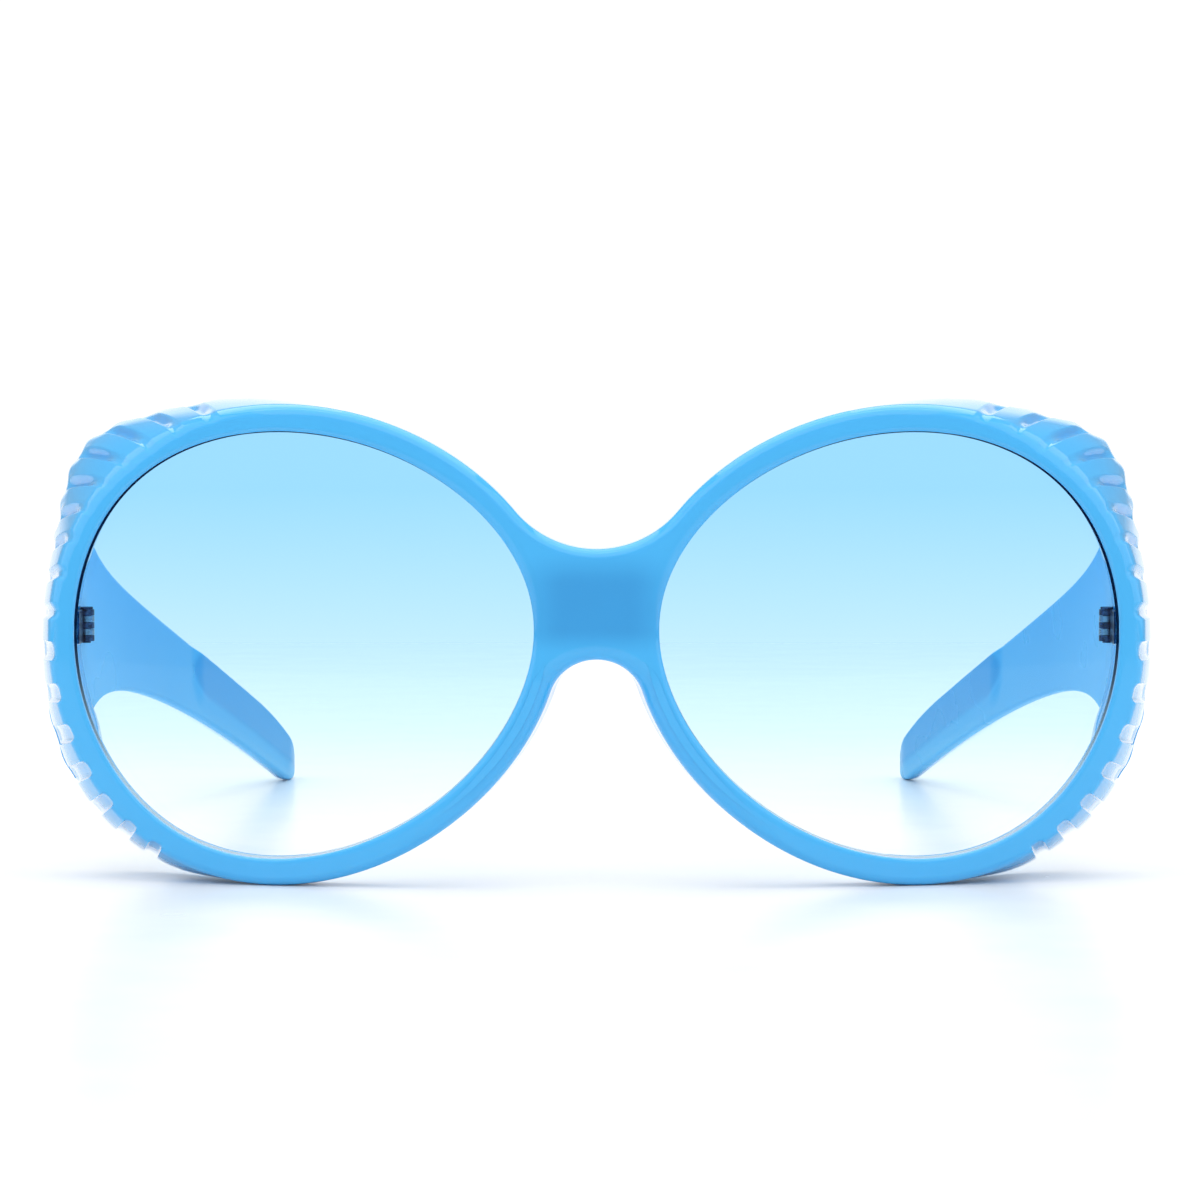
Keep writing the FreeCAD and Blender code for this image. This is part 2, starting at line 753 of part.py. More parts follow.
def tip_pad_section(run):
    """Return the edges of one section of the tip pad, which is rounded at its front end."""
    start, nose = size("temple_reach") - size("tip_pad_length"), size("tip_pad_nose")
    into_nose = min((run - start) / nose, 1.0)
    share, margin = math.sqrt(1 - (1 - into_nose) ** 2), size("tip_pad_margin")
    up = (upper_half_height(run) - margin) * share
    down = (arm_half_height(run) - margin) * share
    tip = tip_round(run, size("tip_length"))
    inner = blend(inner_face(run) + size("temple_edge"), inner_face(run), tip)
    middle, height = middle_line(run), size("tip_pad_height")
    buried = inner + size("temple_chamfer")
    corners = [
        (buried, middle + up),
        (inner - height, middle + up - min(height, up / 2)),
        (inner - height, middle - down + min(height, down / 2)),
        (buried, middle - down),
    ]
    spots = [Vector(x, TEMPLE_Y + run, z) for x, z in corners]
    return list(zip(spots, spots[1:] + spots[:1]))


def tip_pad_solid():
    """Return the pad of the left temple, a little raised so that the tip grips behind the ear."""
    start = size("temple_reach") - size("tip_pad_length")
    end = size("temple_reach") - size("tip_length") / 2
    nose = size("tip_pad_nose")
    runs = [start + nose * share for share in PAD_NOSE_SHARES]
    runs += [blend(start + nose, end, share) for share in even_shares(BRIDGE_STEPS + 1)[1:]]
    return lofted_solid([tip_pad_section(run) for run in runs], runs)


SIDES = {"left": 1, "right": -1}


def add_shape(name, shape):
    """Add a computed shape to the document."""
    feature = doc.addObject("Part::Feature", name)
    feature.Shape = shape
    return feature


def add_primitive(kind, name, rules):
    """Add a primitive whose properties follow the sheet."""
    primitive = doc.addObject(kind, name)
    for path, rule in rules.items():
        primitive.setExpression(path, rule)
    return primitive


def add_boolean(kind, name, base, tool):
    """Add a boolean of two objects."""
    result = doc.addObject(kind, name)
    result.Base = base
    result.Tool = tool
    return result


def add_lens(side):
    """Add one lens: its outline cut from the shell between two equal balls, one behind the other."""
    angles = [360 * step / LENS_STEPS for step in range(LENS_STEPS)]
    outline = [lens_point(angle, size("lens_bevel")) for angle in angles]
    spline = Part.BSplineCurve()
    spline.interpolate([Vector(SIDES[side] * x, FRONT_Y, z) for x, z in outline], PeriodicFlag=True)
    edge = add_shape(f"lens_outline_{side}", spline.toShape())
    blank = doc.addObject("Part::Extrusion", f"lens_blank_{side}")
    blank.Base = edge
    blank.DirMode = "Custom"
    blank.Dir = Vector(0, 1, 0)
    blank.Solid = True
    blank.setExpression("LengthFwd", "Sizes.flank_depth")
    balls = []
    back_rule = "Sizes.lens_setback + Sizes.lens_thickness"
    for name, depth_rule in (("front", "Sizes.lens_setback"), ("back", back_rule)):
        rules = {
            "Radius": "Sizes.wrap_radius",
            "Placement.Base.y": f"{FRONT_RULE} + Sizes.wrap_radius + {depth_rule}",
            "Placement.Base.z": MIDDLE_Z_RULE,
        }
        balls.append(add_primitive("Part::Sphere", f"lens_{name}_ball_{side}", rules))
    shaped = add_boolean("Part::Common", f"lens_front_{side}", blank, balls[0])
    return add_boolean("Part::Cut", f"lens_{side}", shaped, balls[1])


def add_seat(name, side, start_rule, length_rule, peg_rule):
    """Add the cutter for a hinge leaf's seat, its two peg holes and the room for the knuckles."""
    sign = SIDES[side]
    depth = "(Sizes.leaf_sink + Sizes.knuckle_radius * 2)"
    inside = f"({SEAT_X_RULE} - {depth})" if sign > 0 else f"(-{SEAT_X_RULE})"
    half = "(Sizes.hinge_height / 2 + Sizes.leaf_clearance)"
    rules = {
        "Length": depth,
        "Width": length_rule,
        "Height": f"{half} * 2",
        "Placement.Base.x": inside,
        "Placement.Base.y": start_rule,
        "Placement.Base.z": f"{HINGE_Z_RULE} - {half}",
    }
    tools = [add_primitive("Part::Box", f"{name}_seat", rules)]
    for place, lift in (("top", "+"), ("low", "-")):
        rules = {
            "Radius": "Sizes.peg_radius + Sizes.leaf_clearance",
            "Height": "Sizes.leaf_sink + Sizes.peg_length + Sizes.leaf_clearance",
            "Placement.Base.x": f"{sign} * ({SEAT_X_RULE} - Sizes.leaf_sink)",
            "Placement.Base.y": peg_rule,
            "Placement.Base.z": f"{HINGE_Z_RULE} {lift} Sizes.peg_spread",
        }
        hole = add_primitive("Part::Cylinder", f"{name}_{place}_peg_hole", rules)
        hole.Placement.Rotation = Rotation(Vector(0, 1, 0), 90 * sign)
        tools.append(hole)
    relief_half = "(Sizes.hinge_height / 2 + Sizes.screw_head_height + Sizes.knuckle_clearance)"
    rules = {
        "Radius": LEAF_X_RULE,
        "Height": f"{relief_half} * 2",
        "Placement.Base.x": f"{sign} * {AXIS_X_RULE}",
        "Placement.Base.y": AXIS_Y_RULE,
        "Placement.Base.z": f"{HINGE_Z_RULE} - {relief_half}",
    }
    tools.append(add_primitive("Part::Cylinder", f"{name}_knuckle_relief", rules))
    cutter = doc.addObject("Part::MultiFuse", f"{name}_cutter")
    cutter.Shapes = tools
    return cutter


LEAF_REACH_RULE = "(Sizes.leaf_length + Sizes.leaf_clearance)"


def add_front():
    """Add the front with the seats of both front leaves."""
    shell = add_shape("front_shell", front_solid())
    start = f"{AXIS_Y_RULE} - {LEAF_REACH_RULE}"
    length = f"{LEAF_REACH_RULE} + Sizes.cut_overrun"
    peg = f"{AXIS_Y_RULE} - Sizes.peg_reach"
    cutters = [add_seat(f"front_{side}", side, start, length, peg) for side in SIDES]
    seats = doc.addObject("Part::MultiFuse", "front_seats")
    seats.Shapes = cutters
    return add_boolean("Part::Cut", "frame_front", shell, seats)


def add_temple(side, solids):
    """Add one temple with its tip pad and the seat of its leaf."""
    if SIDES[side] < 0:
        solids = [mirrored(solid) for solid in solids]
    arm = add_shape(f"temple_arm_{side}", solids[0])
    pad = add_shape(f"tip_pad_{side}", solids[1])
    blank = add_boolean("Part::Fuse", f"temple_blank_{side}", arm, pad)
    start = f"{AXIS_Y_RULE} - Sizes.cut_overrun"
    length = f"{LEAF_REACH_RULE} + Sizes.cut_overrun"
    peg = f"{AXIS_Y_RULE} + Sizes.peg_reach"
    cutter = add_seat(f"temple_{side}", side, start, length, peg)
    return add_boolean("Part::Cut", f"temple_{side}", blank, cutter)


def origin_part(body, role):
    """Return one of a body's own origin planes or axes."""
    return next(each for each in body.Origin.OriginFeatures if each.Role == role)


def add_sketch(body, name, plane, lift_rule=None):
    """Add a sketch on one of the body's origin planes, lifted off it by a rule."""
    sketch = body.newObject("Sketcher::SketchObject", name)
    sketch.AttachmentSupport = [(origin_part(body, plane), "")]
    sketch.MapMode = "FlatFace"
    if lift_rule:
        sketch.setExpression("AttachmentOffset.Base.z", lift_rule)
    return sketch


def bind_point(sketch, shape, end, spot):
    """Hold one point of a sketch at a pair of rules, measured from the sketch's origin."""
    for kind, axis, rule in (("DistanceX", -2, spot[0]), ("DistanceY", -1, spot[1])):
        if rule == "0":
            sketch.addConstraint(Sketcher.Constraint("PointOnObject", shape, end, axis))
        else:
            number = sketch.addConstraint(Sketcher.Constraint(kind, -1, 1, shape, end, 1.0))
            sketch.setExpression(f"Constraints[{number}]", rule)


def add_polygon(sketch, corners):
    """Draw a closed polygon whose corners are pairs of rules."""
    count = len(corners)
    turns = [2 * math.pi * step / count for step in range(count)]
    spots = [Vector(math.cos(turn), math.sin(turn), 0) for turn in turns]
    sides = [Part.LineSegment(*ends) for ends in zip(spots, spots[1:] + spots[:1])]
    lines = [sketch.addGeometry(each, False) for each in sides]
    for step, line in enumerate(lines):
        sketch.addConstraint(Sketcher.Constraint("Coincident", line, 2, lines[(step + 1) % count], 1))
        bind_point(sketch, line, 1, corners[step])


def add_circle(sketch, spot, radius_rule):
    """Draw a circle about a pair of rules."""
    circle = sketch.addGeometry(Part.Circle(Vector(), Vector(0, 0, 1), 1.0), False)
    number = sketch.addConstraint(Sketcher.Constraint("Radius", circle, 1.0))
    sketch.setExpression(f"Constraints[{number}]", radius_rule)
    bind_point(sketch, circle, 3, spot)


def add_pad(body, sketch, name, length_rule, is_reversed=False):
    """Pad a sketch by a rule."""
    pad = body.newObject("PartDesign::Pad", name)
    pad.Profile = sketch
    pad.Reversed = is_reversed
    pad.setExpression("Length", length_rule)
    sketch.Visibility = False
    return pad


def place_on_hinge(body, side):
    """Put a hinge piece, drawn about its own axis, on the hinge of one side."""
    body.Placement = Placement(Vector(), Rotation(Vector(0, 1, 0), 0 if SIDES[side] > 0 else 180))
    body.setExpression("Placement.Base.x", f"{SIDES[side]} * {AXIS_X_RULE}")
    body.setExpression("Placement.Base.y", AXIS_Y_RULE)
    body.setExpression("Placement.Base.z", HINGE_Z_RULE)


KNUCKLE_RULE = f"(Sizes.hinge_height / {KNUCKLES})"
LOWEST_RULE = "-Sizes.hinge_height / 2"


def add_leaf(name, side, direction, first, count):
    """Add a hinge leaf: a plate with knuckles every second place and two pegs into the plastic.

    The direction is -1 for the front's leaf and 1 for the temple's; first is its lowest knuckle.
    """
    body = doc.addObject("PartDesign::Body", f"{name}_{side}")
    outer = LEAF_X_RULE
    inner = f"({LEAF_X_RULE} - Sizes.leaf_thickness)"
    near = f"{direction} * ({LEAF_X_RULE} + Sizes.knuckle_gap)"
    far = f"{direction} * Sizes.leaf_length"
    plate_sketch = add_sketch(body, f"{name}_plate_sketch_{side}", "XY_Plane", LOWEST_RULE)
    add_polygon(plate_sketch, [(inner, near), (outer, near), (outer, far), (inner, far)])
    add_pad(body, plate_sketch, f"{name}_plate_{side}", "Sizes.hinge_height")
    lift = f"{LOWEST_RULE} + {first} * {KNUCKLE_RULE} + Sizes.knuckle_gap / 2"
    height = f"{KNUCKLE_RULE} - Sizes.knuckle_gap"
    web_sketch = add_sketch(body, f"{name}_web_sketch_{side}", "XY_Plane", lift)
    add_polygon(web_sketch, [(inner, "0"), (outer, "0"), (outer, near), (inner, near)])
    web = add_pad(body, web_sketch, f"{name}_web_{side}", height)
    barrel_sketch = add_sketch(body, f"{name}_barrel_sketch_{side}", "XY_Plane", lift)
    add_circle(barrel_sketch, ("0", "0"), "Sizes.knuckle_radius")
    barrel = add_pad(body, barrel_sketch, f"{name}_barrel_{side}", height)
    row = body.newObject("PartDesign::LinearPattern", f"{name}_knuckles_{side}")
    row.Originals = [web, barrel]
    row.Direction = (origin_part(body, "Z_Axis"), [""])
    row.Occurrences = count
    row.setExpression("Length", f"{2 * (count - 1)} * {KNUCKLE_RULE}")
    body.Tip = row
    doc.recompute()
    peg_sketch = add_sketch(body, f"{name}_peg_sketch_{side}", "YZ_Plane", outer)
    for lift_sign in ("", "-"):
        spot = (f"{direction} * Sizes.peg_reach", f"{lift_sign}Sizes.peg_spread")
        add_circle(peg_sketch, spot, "Sizes.peg_radius")
    add_pad(body, peg_sketch, f"{name}_pegs_{side}", "Sizes.peg_length")
    bore_sketch = add_sketch(body, f"{name}_bore_sketch_{side}", "XY_Plane")
    add_circle(bore_sketch, ("0", "0"), "Sizes.screw_radius + Sizes.screw_clearance")
    doc.recompute()
    solid_volume = body.Shape.Volume
    bore = body.newObject("PartDesign::Pocket", f"{name}_bore_{side}")
    bore.Profile = bore_sketch
    bore.SideType = "Symmetric"
    bore.Type = "ThroughAll"
    doc.recompute()
    if not body.Shape.Volume < solid_volume:
        raise RuntimeError(f"the bore of {name}_{side} cuts nothing")
    place_on_hinge(body, side)
    return body


def add_screw(side):
    """Add a hinge screw: a turned shank and head with a slot across the head."""
    body = doc.addObject("PartDesign::Body", f"hinge_screw_{side}")
    low = "-Sizes.hinge_height / 2 - Sizes.screw_tail"
    seat = "Sizes.hinge_height / 2"
    top = f"{seat} + Sizes.screw_head_height"
    profile = add_sketch(body, f"screw_profile_{side}", "XZ_Plane")
    corners = [("0", low), ("Sizes.screw_radius", low), ("Sizes.screw_radius", seat)]
    corners += [("Sizes.screw_head_radius", seat), ("Sizes.screw_head_radius", top), ("0", top)]
    add_polygon(profile, corners)
    turned = body.newObject("PartDesign::Revolution", f"screw_turned_{side}")
    turned.Profile = profile
    turned.ReferenceAxis = (profile, ["V_Axis"])
    turned.Angle = 360
    doc.recompute()
    solid_volume = body.Shape.Volume
    slot_sketch = add_sketch(body, f"screw_slot_sketch_{side}", "XY_Plane", top)
    reach, half = "Sizes.screw_head_radius * 2", "Sizes.screw_slot_width / 2"
    ends = [(f"-{reach}", f"-{half}"), (reach, f"-{half}"), (reach, half), (f"-{reach}", half)]
    add_polygon(slot_sketch, ends)
    slot = body.newObject("PartDesign::Pocket", f"screw_slot_{side}")
    slot.Profile = slot_sketch
    slot.setExpression("Length", "Sizes.screw_slot_depth")
    doc.recompute()
    if not body.Shape.Volume < solid_volume:
        raise RuntimeError(f"the slot of hinge_screw_{side} cuts nothing")
    body.setExpression("Placement.Base.x", f"{SIDES[side]} * {AXIS_X_RULE}")
    body.setExpression("Placement.Base.y", AXIS_Y_RULE)
    body.setExpression("Placement.Base.z", HINGE_Z_RULE)
    return body


def build():
    """Build every sub-part and return them."""
    nodes = [add_front()]
    temple = (temple_solid(), tip_pad_solid())
    for side in SIDES:
        nodes.append(add_lens(side))
        nodes.append(add_temple(side, temple))
        nodes.append(add_leaf("front_hinge_leaf", side, -1, 0, 3))
        nodes.append(add_leaf("temple_hinge_leaf", side, 1, 1, 2))
        nodes.append(add_screw(side))
    doc.recompute()
    return nodes


def export(nodes):
    """Check every object and write one file per sub-part."""
    for each in doc.Objects:
        if "Invalid" in each.State or "Error" in each.State:
            raise RuntimeError(f"{each.Name} did not build")
    os.makedirs("parts", exist_ok=True)
    for node in nodes:
        node.Label = node.Name
        if node.Shape.isNull() or not node.Shape.isValid():
            raise RuntimeError(f"{node.Label} has no valid shape")
        node.Shape.exportStep(f"parts/{node.Label}.step")
        print(node.Label, len(node.Shape.Solids), round(node.Shape.Volume, 2))


export(build())
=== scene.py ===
"""Looks of the oversized sunglasses: polished front and temples, gradient lenses, dark hinges.

Every length is in metres in the part's own frame: X to the wearer's left, Y from the bridge back to
the temple tips and Z up from the surface that the sunglasses stand on. An outline angle is the
direction in degrees that the lens outline faces: 0 towards the temple, 90 up, 180 towards the nose.
"""

import math
from dataclasses import dataclass

import bmesh
import bpy
import numpy as np
from mathutils import Matrix, Vector


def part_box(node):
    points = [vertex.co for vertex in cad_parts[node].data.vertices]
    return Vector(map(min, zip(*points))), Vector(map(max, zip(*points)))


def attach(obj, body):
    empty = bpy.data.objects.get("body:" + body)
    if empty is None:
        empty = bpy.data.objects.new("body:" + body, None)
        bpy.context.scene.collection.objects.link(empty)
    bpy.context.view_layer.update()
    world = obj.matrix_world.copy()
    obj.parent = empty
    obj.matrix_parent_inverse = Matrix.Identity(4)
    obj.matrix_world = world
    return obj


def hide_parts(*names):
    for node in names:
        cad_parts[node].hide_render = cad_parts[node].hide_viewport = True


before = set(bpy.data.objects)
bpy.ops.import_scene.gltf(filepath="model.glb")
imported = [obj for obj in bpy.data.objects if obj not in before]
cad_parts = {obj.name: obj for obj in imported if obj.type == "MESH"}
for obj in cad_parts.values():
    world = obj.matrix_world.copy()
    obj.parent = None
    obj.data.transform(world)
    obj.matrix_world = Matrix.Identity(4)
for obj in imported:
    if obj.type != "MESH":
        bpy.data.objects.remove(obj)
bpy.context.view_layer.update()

bl_info = {
    "name": "Oversized Sunglasses",
    "version": (1, 0, 0),
    "blender": (4, 5, 0),
    "location": "View3D > Sidebar > Sunglasses",
    "description": "Dresses the oversized sunglasses: front, lenses, temples, hinges and a plain stage",
    "category": "Object",
}

MM = 0.001
SIDES = {"left": 1, "right": -1}

# Counts
FLUTES = 16
RIM_STEPS = 110
OUTLINE_STEPS = 440
FLUTE_STEPS = 9
LAND_STEPS = 6
ARC_STEPS = 36
MIDDLE_STEPS = 12
FLANK_ROWS = 18
ROUND_ROWS = 8
FACE_ROWS = 4
LENS_RINGS = 24
LENS_STEPS = 180
TEMPLE_ROWS = 150
TIP_ROWS = 16
TIP_SEARCH_STEPS = 600
INNER_STEPS = 28
CAP_ROWS = 4
CUTTER_STEPS = 48
HALVINGS = 60

# Where a flute begins, where it is deepest and where it ends, outwards from its centre in pitches
UPPER_FLUTE_SHARES = (-0.2, -0.03, 0.04, 0.27)
LOWER_FLUTE_SHARES = (-0.3, -0.1, 0.04, 0.16)
REAR_FLUTE_SHARES = (-0.46, -0.04, 0.06, 0.5)

# Shares of a flute's depth at the rear edge (upper half, lower half) and on the front face, and the
# shares of the flank's run over which a flute leaves its front form and takes on its rear form
REAR_BITE_SHARES = (0.4, 0.25)
FACE_BITE_SHARE = 0.8
FLUTE_FRONT_SHARES = (0.0, 0.4)
FLUTE_REAR_SHARES = (0.7, 1.0)

# Shares of the flare that the surface heads for halfway: flank (upper, lower half) and nose
FLANK_SWELL_SHARES = (0.75, 1.0)
NOSE_SWELL_SHARE = 0.35

# Other shares: nose pad at the bridge's middle, where the bridge's middle meets the lens outline, how
# far the outline faces the nose, least flank that is lacquered, height of the lens's ground border
BRIDGE_NOSE_SHARE = 0.35
NASAL_SPLIT_SHARES = (0.32, 0.64)
NASAL_SHARES = (0.1, 0.9)
MIN_REACH = 0.02
BORDER_SHARES = (-0.5, 0.3)

# Powers of the temple's curves and of the spacing of its rows
INWARD_POWER = 1.3
DROP_POWER = 1.42
CROWN_POWER = 2.4
ROW_POWER = 1.35

# Outline angles between which a form goes from none to full, or from its first value to its second
FLANK_TOP_ANGLES = (106, 60)
FLANK_LOW_ANGLES = (-90, -46)
FLARE_TOP_ANGLES = (100, 66)
FLARE_LOW_ANGLES = (-86, -60)
SWELL_ANGLES = (-20, -54)
NOSE_SWELL_ANGLES = (-104, -88)
SOFT_EDGE_ANGLES = (-20, 25)
BITE_ANGLES = (32, 6)
WALL_FLARE_ANGLES = (-20, -42)
FAN_PROUD_ANGLES = (-2, -24)
PAD_LOW_ANGLES = (-108, -138)
PAD_TOP_ANGLES = (-206, -178)

# Outline angles between which the ends of the bridge's arcs and the temple's corners are searched
BRIDGE_TOP_ANGLES = (92, 160)
BRIDGE_ARCH_ANGLES = (182, 262)
FAN_ANGLES = (-75, 0)

# Widths in degrees of the flare's two corners and of the flutes' lean towards the temple
TOP_FLARE_SPREAD = 18
LOW_FLARE_SPREAD = 24
LEAN_SPAN = 110

SHARP_ANGLE = math.radians(35)
MERGE_DISTANCE = 1e-7

# Painted shade, a deeper blue: heights and distances from the middle over which it rises on the bridge,
# shares
#  of the temple's run and heights from its middle line over which it rises inside the temple, and its
#  strengths
BRIDGE_SHADE_TOP = (0.0462, 0.041)
BRIDGE_SHADE_LOW = (0.0315, 0.0355)
BRIDGE_SHADE_SIDE = (0.012, 0.004)
BRIDGE_SHADE = 0.75
ARM_SHADE_RUN = (0.02, 0.4)
PAD_SHADE_LOW = (-0.0022, -0.0008)
ARM_SHADE = 0.45

# Heights, as shares of the lens, over which its tint and the painted shade on its edge change, and the
# power
#  and strength of its gloss with the gloss that is left where it faces the viewer
LOWER_TINT_LEVELS = (0.05, 0.3)
UPPER_TINT_LEVELS = (0.3, 0.86)
EDGE_TONE_LEVELS = (0.2, 0.5)
GLOSS_POWER = 5.0
GLOSS = 0.9
LEAST_GLOSS = 0.018

# Light of the studio's zones from the camera to the backdrop, with the limits (as the cosine of the
# angle to the view) between which each zone takes over from the one before it
STUDIO_ZONES = ((0.5, -1.0, -1.0), (0.4, -0.75, -0.3), (1.1, 0.8, 0.9))

# Place, width and power of the soft boxes, and where they point
SOFT_BOXES = {
    "light_top": ((0.0, 0.15, 1.0), 1.2, 8.0),
    "light_front": ((0.0, -0.9, 1.1), 1.4, 7.2),
    "light_left": ((1.1, -0.3, 0.6), 1.3, 5.0),
    "light_right": ((-1.1, -0.3, 0.6), 1.3, 5.0),
}
LIGHT_TARGET = Vector((0.0, 0.0, 0.03))
SENSOR_WIDTH = 36.0
CLIP_START = 0.01


def length(label, description, millimetres):
    """Return a length property."""
    return bpy.props.FloatProperty(
        name=label, description=description, default=millimetres * MM, unit="LENGTH", precision=5
    )


def number(label, description, value):
    """Return a property for a plain number or for an outline angle in degrees."""
    return bpy.props.FloatProperty(name=label, description=description, default=value)


def colour(label, description, value):
    """Return a colour property."""
    return bpy.props.FloatVectorProperty(
        name=label, description=description, default=value, subtype="COLOR", size=3, min=0.0, max=1.0
    )


class LensSizes(bpy.types.PropertyGroup):
    """Lens outline, wrap and edge."""

    width: length("Width", "Width of the lens opening", 63.0)
    height: length("Height", "Height of the lens opening", 58.0)
    distance: length("Distance", "Gap between the two lens openings", 16.8)
    lean: length("Lean", "How far the oval leans", -0.3)
    egg: length("Egg", "How far the oval bulges on one side", 1.0)
    egg_angle: number("Egg angle", "Where the oval bulges", 152.8)
    wrap_radius: length("Wrap radius", "Radius of the ball that the front follows", 260.0)
    thickness: length("Thickness", "Thickness of the lens", 2.0)
    setback: length("Setback", "How far the lens lies behind the front face", 1.3)
    bevel: length("Bevel", "How far the lens edge reaches into its groove", 0.5)
    clearance: length("Clearance", "Room between the lens and its groove", 0.08)
    ground: length("Ground", "Width of the ground border that shows inside the opening", 0.14)


class RimSizes(bpy.types.PropertyGroup):
    """Rim, bridge and nose pads."""

    width: length("Width", "Width of the rim seen from the front", 3.7)
    thickness: length("Thickness", "Depth of the rim at the lens", 4.6)
    outer_round: length("Outer round", "Radius of the front's outer edge", 1.3)
    arch_round: length("Arch round", "Extra radius of that edge over the nose", 1.3)
    inner_round: length("Inner round", "Width of the soft edge beside the lens", 0.8)
    nasal_round: length("Nasal round", "Extra width of that edge towards the nose", 1.2)
    inner_depth: length("Inner depth", "Depth of the soft edge beside the lens", 0.45)
    nasal_depth: length("Nasal depth", "Extra depth of that edge towards the nose", 0.35)
    back_round: length("Back round", "Radius of the opening's rear edge", 0.35)
    foot_round: length("Foot round", "Radius between the rim's back and its wall", 0.2)
    lip: length("Lip", "Height of the lip round the rim's back", 0.6)
    bridge_rise: length("Bridge rise", "Height of the bridge's top above the lens middle", 13.3)
    bridge_height: length("Bridge height", "Height of the bridge at its middle", 14.9)
    pad_depth: length("Pad depth", "How far the moulded nose pads reach back", 5.0)
    pad_flare: length("Pad flare", "How far the nose pads flare outwards", 0.6)


class FlankSizes(bpy.types.PropertyGroup):
    """Fluted flank between the rim and the temple."""

    depth: length("Depth", "Depth of the front at the flank", 22.5)
    wall_inset: length("Wall inset", "How far the flank's inner wall lies outside the lens opening", 0.7)
    edge_round: length("Edge round", "Radius of the flank's rear edges", 0.4)
    land_round: length("Land round", "Radius between the rear land and the inner wall", 0.25)
    flare: length("Flare", "How far the rear edge stands out beyond the rim", 2.0)
    top_flare: length("Top flare", "Extra flare at the upper corner", 3.7)
    top_flare_angle: number("Top flare angle", "Where the upper corner lies", 43.0)
    low_flare: length("Low flare", "Extra flare at the lower corner", 1.7)
    low_flare_angle: number("Low flare angle", "Where the lower corner lies", -34.0)
    flute_depth: length("Flute depth", "Depth of the flutes", 1.05)
    first_flute: number("First flute", "Angle of the uppermost flute", 75.0)
    last_flute: number("Last flute", "Angle of the lowest flute", -57.0)
    flute_lean: number("Flute lean", "How far the flutes lean towards the temple at the rear edge", 9.0)
    top_bite: number("Top bite", "Share of the flute's depth at the front's edge in the upper half", 0.2)
    low_bite: number("Low bite", "Share of the flute's depth at the front's edge in the lower half", 0.65)
    top_round: length("Top round", "Radius of the front's edge in the flank's upper half", 1.5)
    low_round: length("Low round", "Radius of the front's edge in the flank's lower half", 0.5)
    wall_flare: length("Wall flare", "How far the inner wall flares outwards below the temple", 3.0)


class TempleSizes(bpy.types.PropertyGroup):
    """Fan-shaped temple with its arm and tip pad."""

    gap: length("Gap", "Gap between the flank and the temple", 0.3)
    reach: length("Reach", "Length of the temple", 122.2)
    edge: length("Edge", "Thickness at the temple's upper and lower edges", 1.2)
    edge_round: length("Edge round", "Radius of the inner face's edges", 0.6)
    cap_round: length("Cap round", "Radius of the edge that meets the flank", 0.1)
    inward: length("Inward", "How far the temple bends inwards", 20.7)
    straight: length("Straight", "Straight stretch at the hinge", 6.0)
    fan_proud: length("Fan proud", "How far the fan's lower edge stands out beyond the flank", 0.3)
    fan_length: length("Fan length", "How fast the fan narrows", 8.0)
    taper: length("Taper", "Extra half height of the arm behind the fan", 7.0)
    taper_length: length("Taper length", "How fast the arm narrows", 40.0)
    half_height: length("Half height", "Half the arm's height at the tip", 4.0)
    crown: length("Crown", "Crown of the arm's outer face", 2.4)
    crown_length: length("Crown length", "How fast the fan's outline turns into the crown", 14.0)
    flute_rise: length("Flute rise", "Length over which the flutes grow deeper behind the gap", 8.0)
    flute_fade: length("Flute fade", "Length over which the flutes fade out", 28.0)
    tip_length: length("Tip length", "Length of the rounded tip", 7.0)
    tip_slope: length("Tip slope", "Length over which the tip's upper edge comes down", 24.0)
    pad_height: length("Pad height", "How far the tip pad stands proud", 0.5)
    pad_length: length("Pad length", "Length of the tip pad", 58.0)
    pad_margin: length("Pad margin", "Margin beside the tip pad", 1.3)
    pad_nose: length("Pad nose", "Length of the tip pad's rounded front end", 6.0)
    pad_front: length("Pad front", "Length over which the tip pad rises", 5.0)
    pad_slope: length("Pad slope", "Width of the tip pad's rounded front and upper side", 0.9)
    pad_low_slope: length("Pad low slope", "Width of the tip pad's rounded lower side", 2.6)


class HingeSizes(bpy.types.PropertyGroup):
    """Seats of the hinge leaves."""

    rise: length("Rise", "Height of the hinge above the lens middle", 1.7)
    height: length("Height", "Height of the hinge", 4.5)
    knuckle_radius: length("Knuckle radius", "Radius of the knuckles", 1.1)
    knuckle_clearance: length("Knuckle clearance", "Room round the knuckles", 0.05)
    leaf_length: length("Leaf length", "Length of a leaf from the axis", 5.4)
    leaf_sink: length("Leaf sink", "How deep a leaf sits in the plastic", 0.3)
    leaf_clearance: length("Leaf clearance", "Room round a leaf", 0.03)
    head_height: length("Head height", "Height of the screw head", 0.3)
    edge_round: length("Edge round", "Rounding of the metal edges", 0.12)


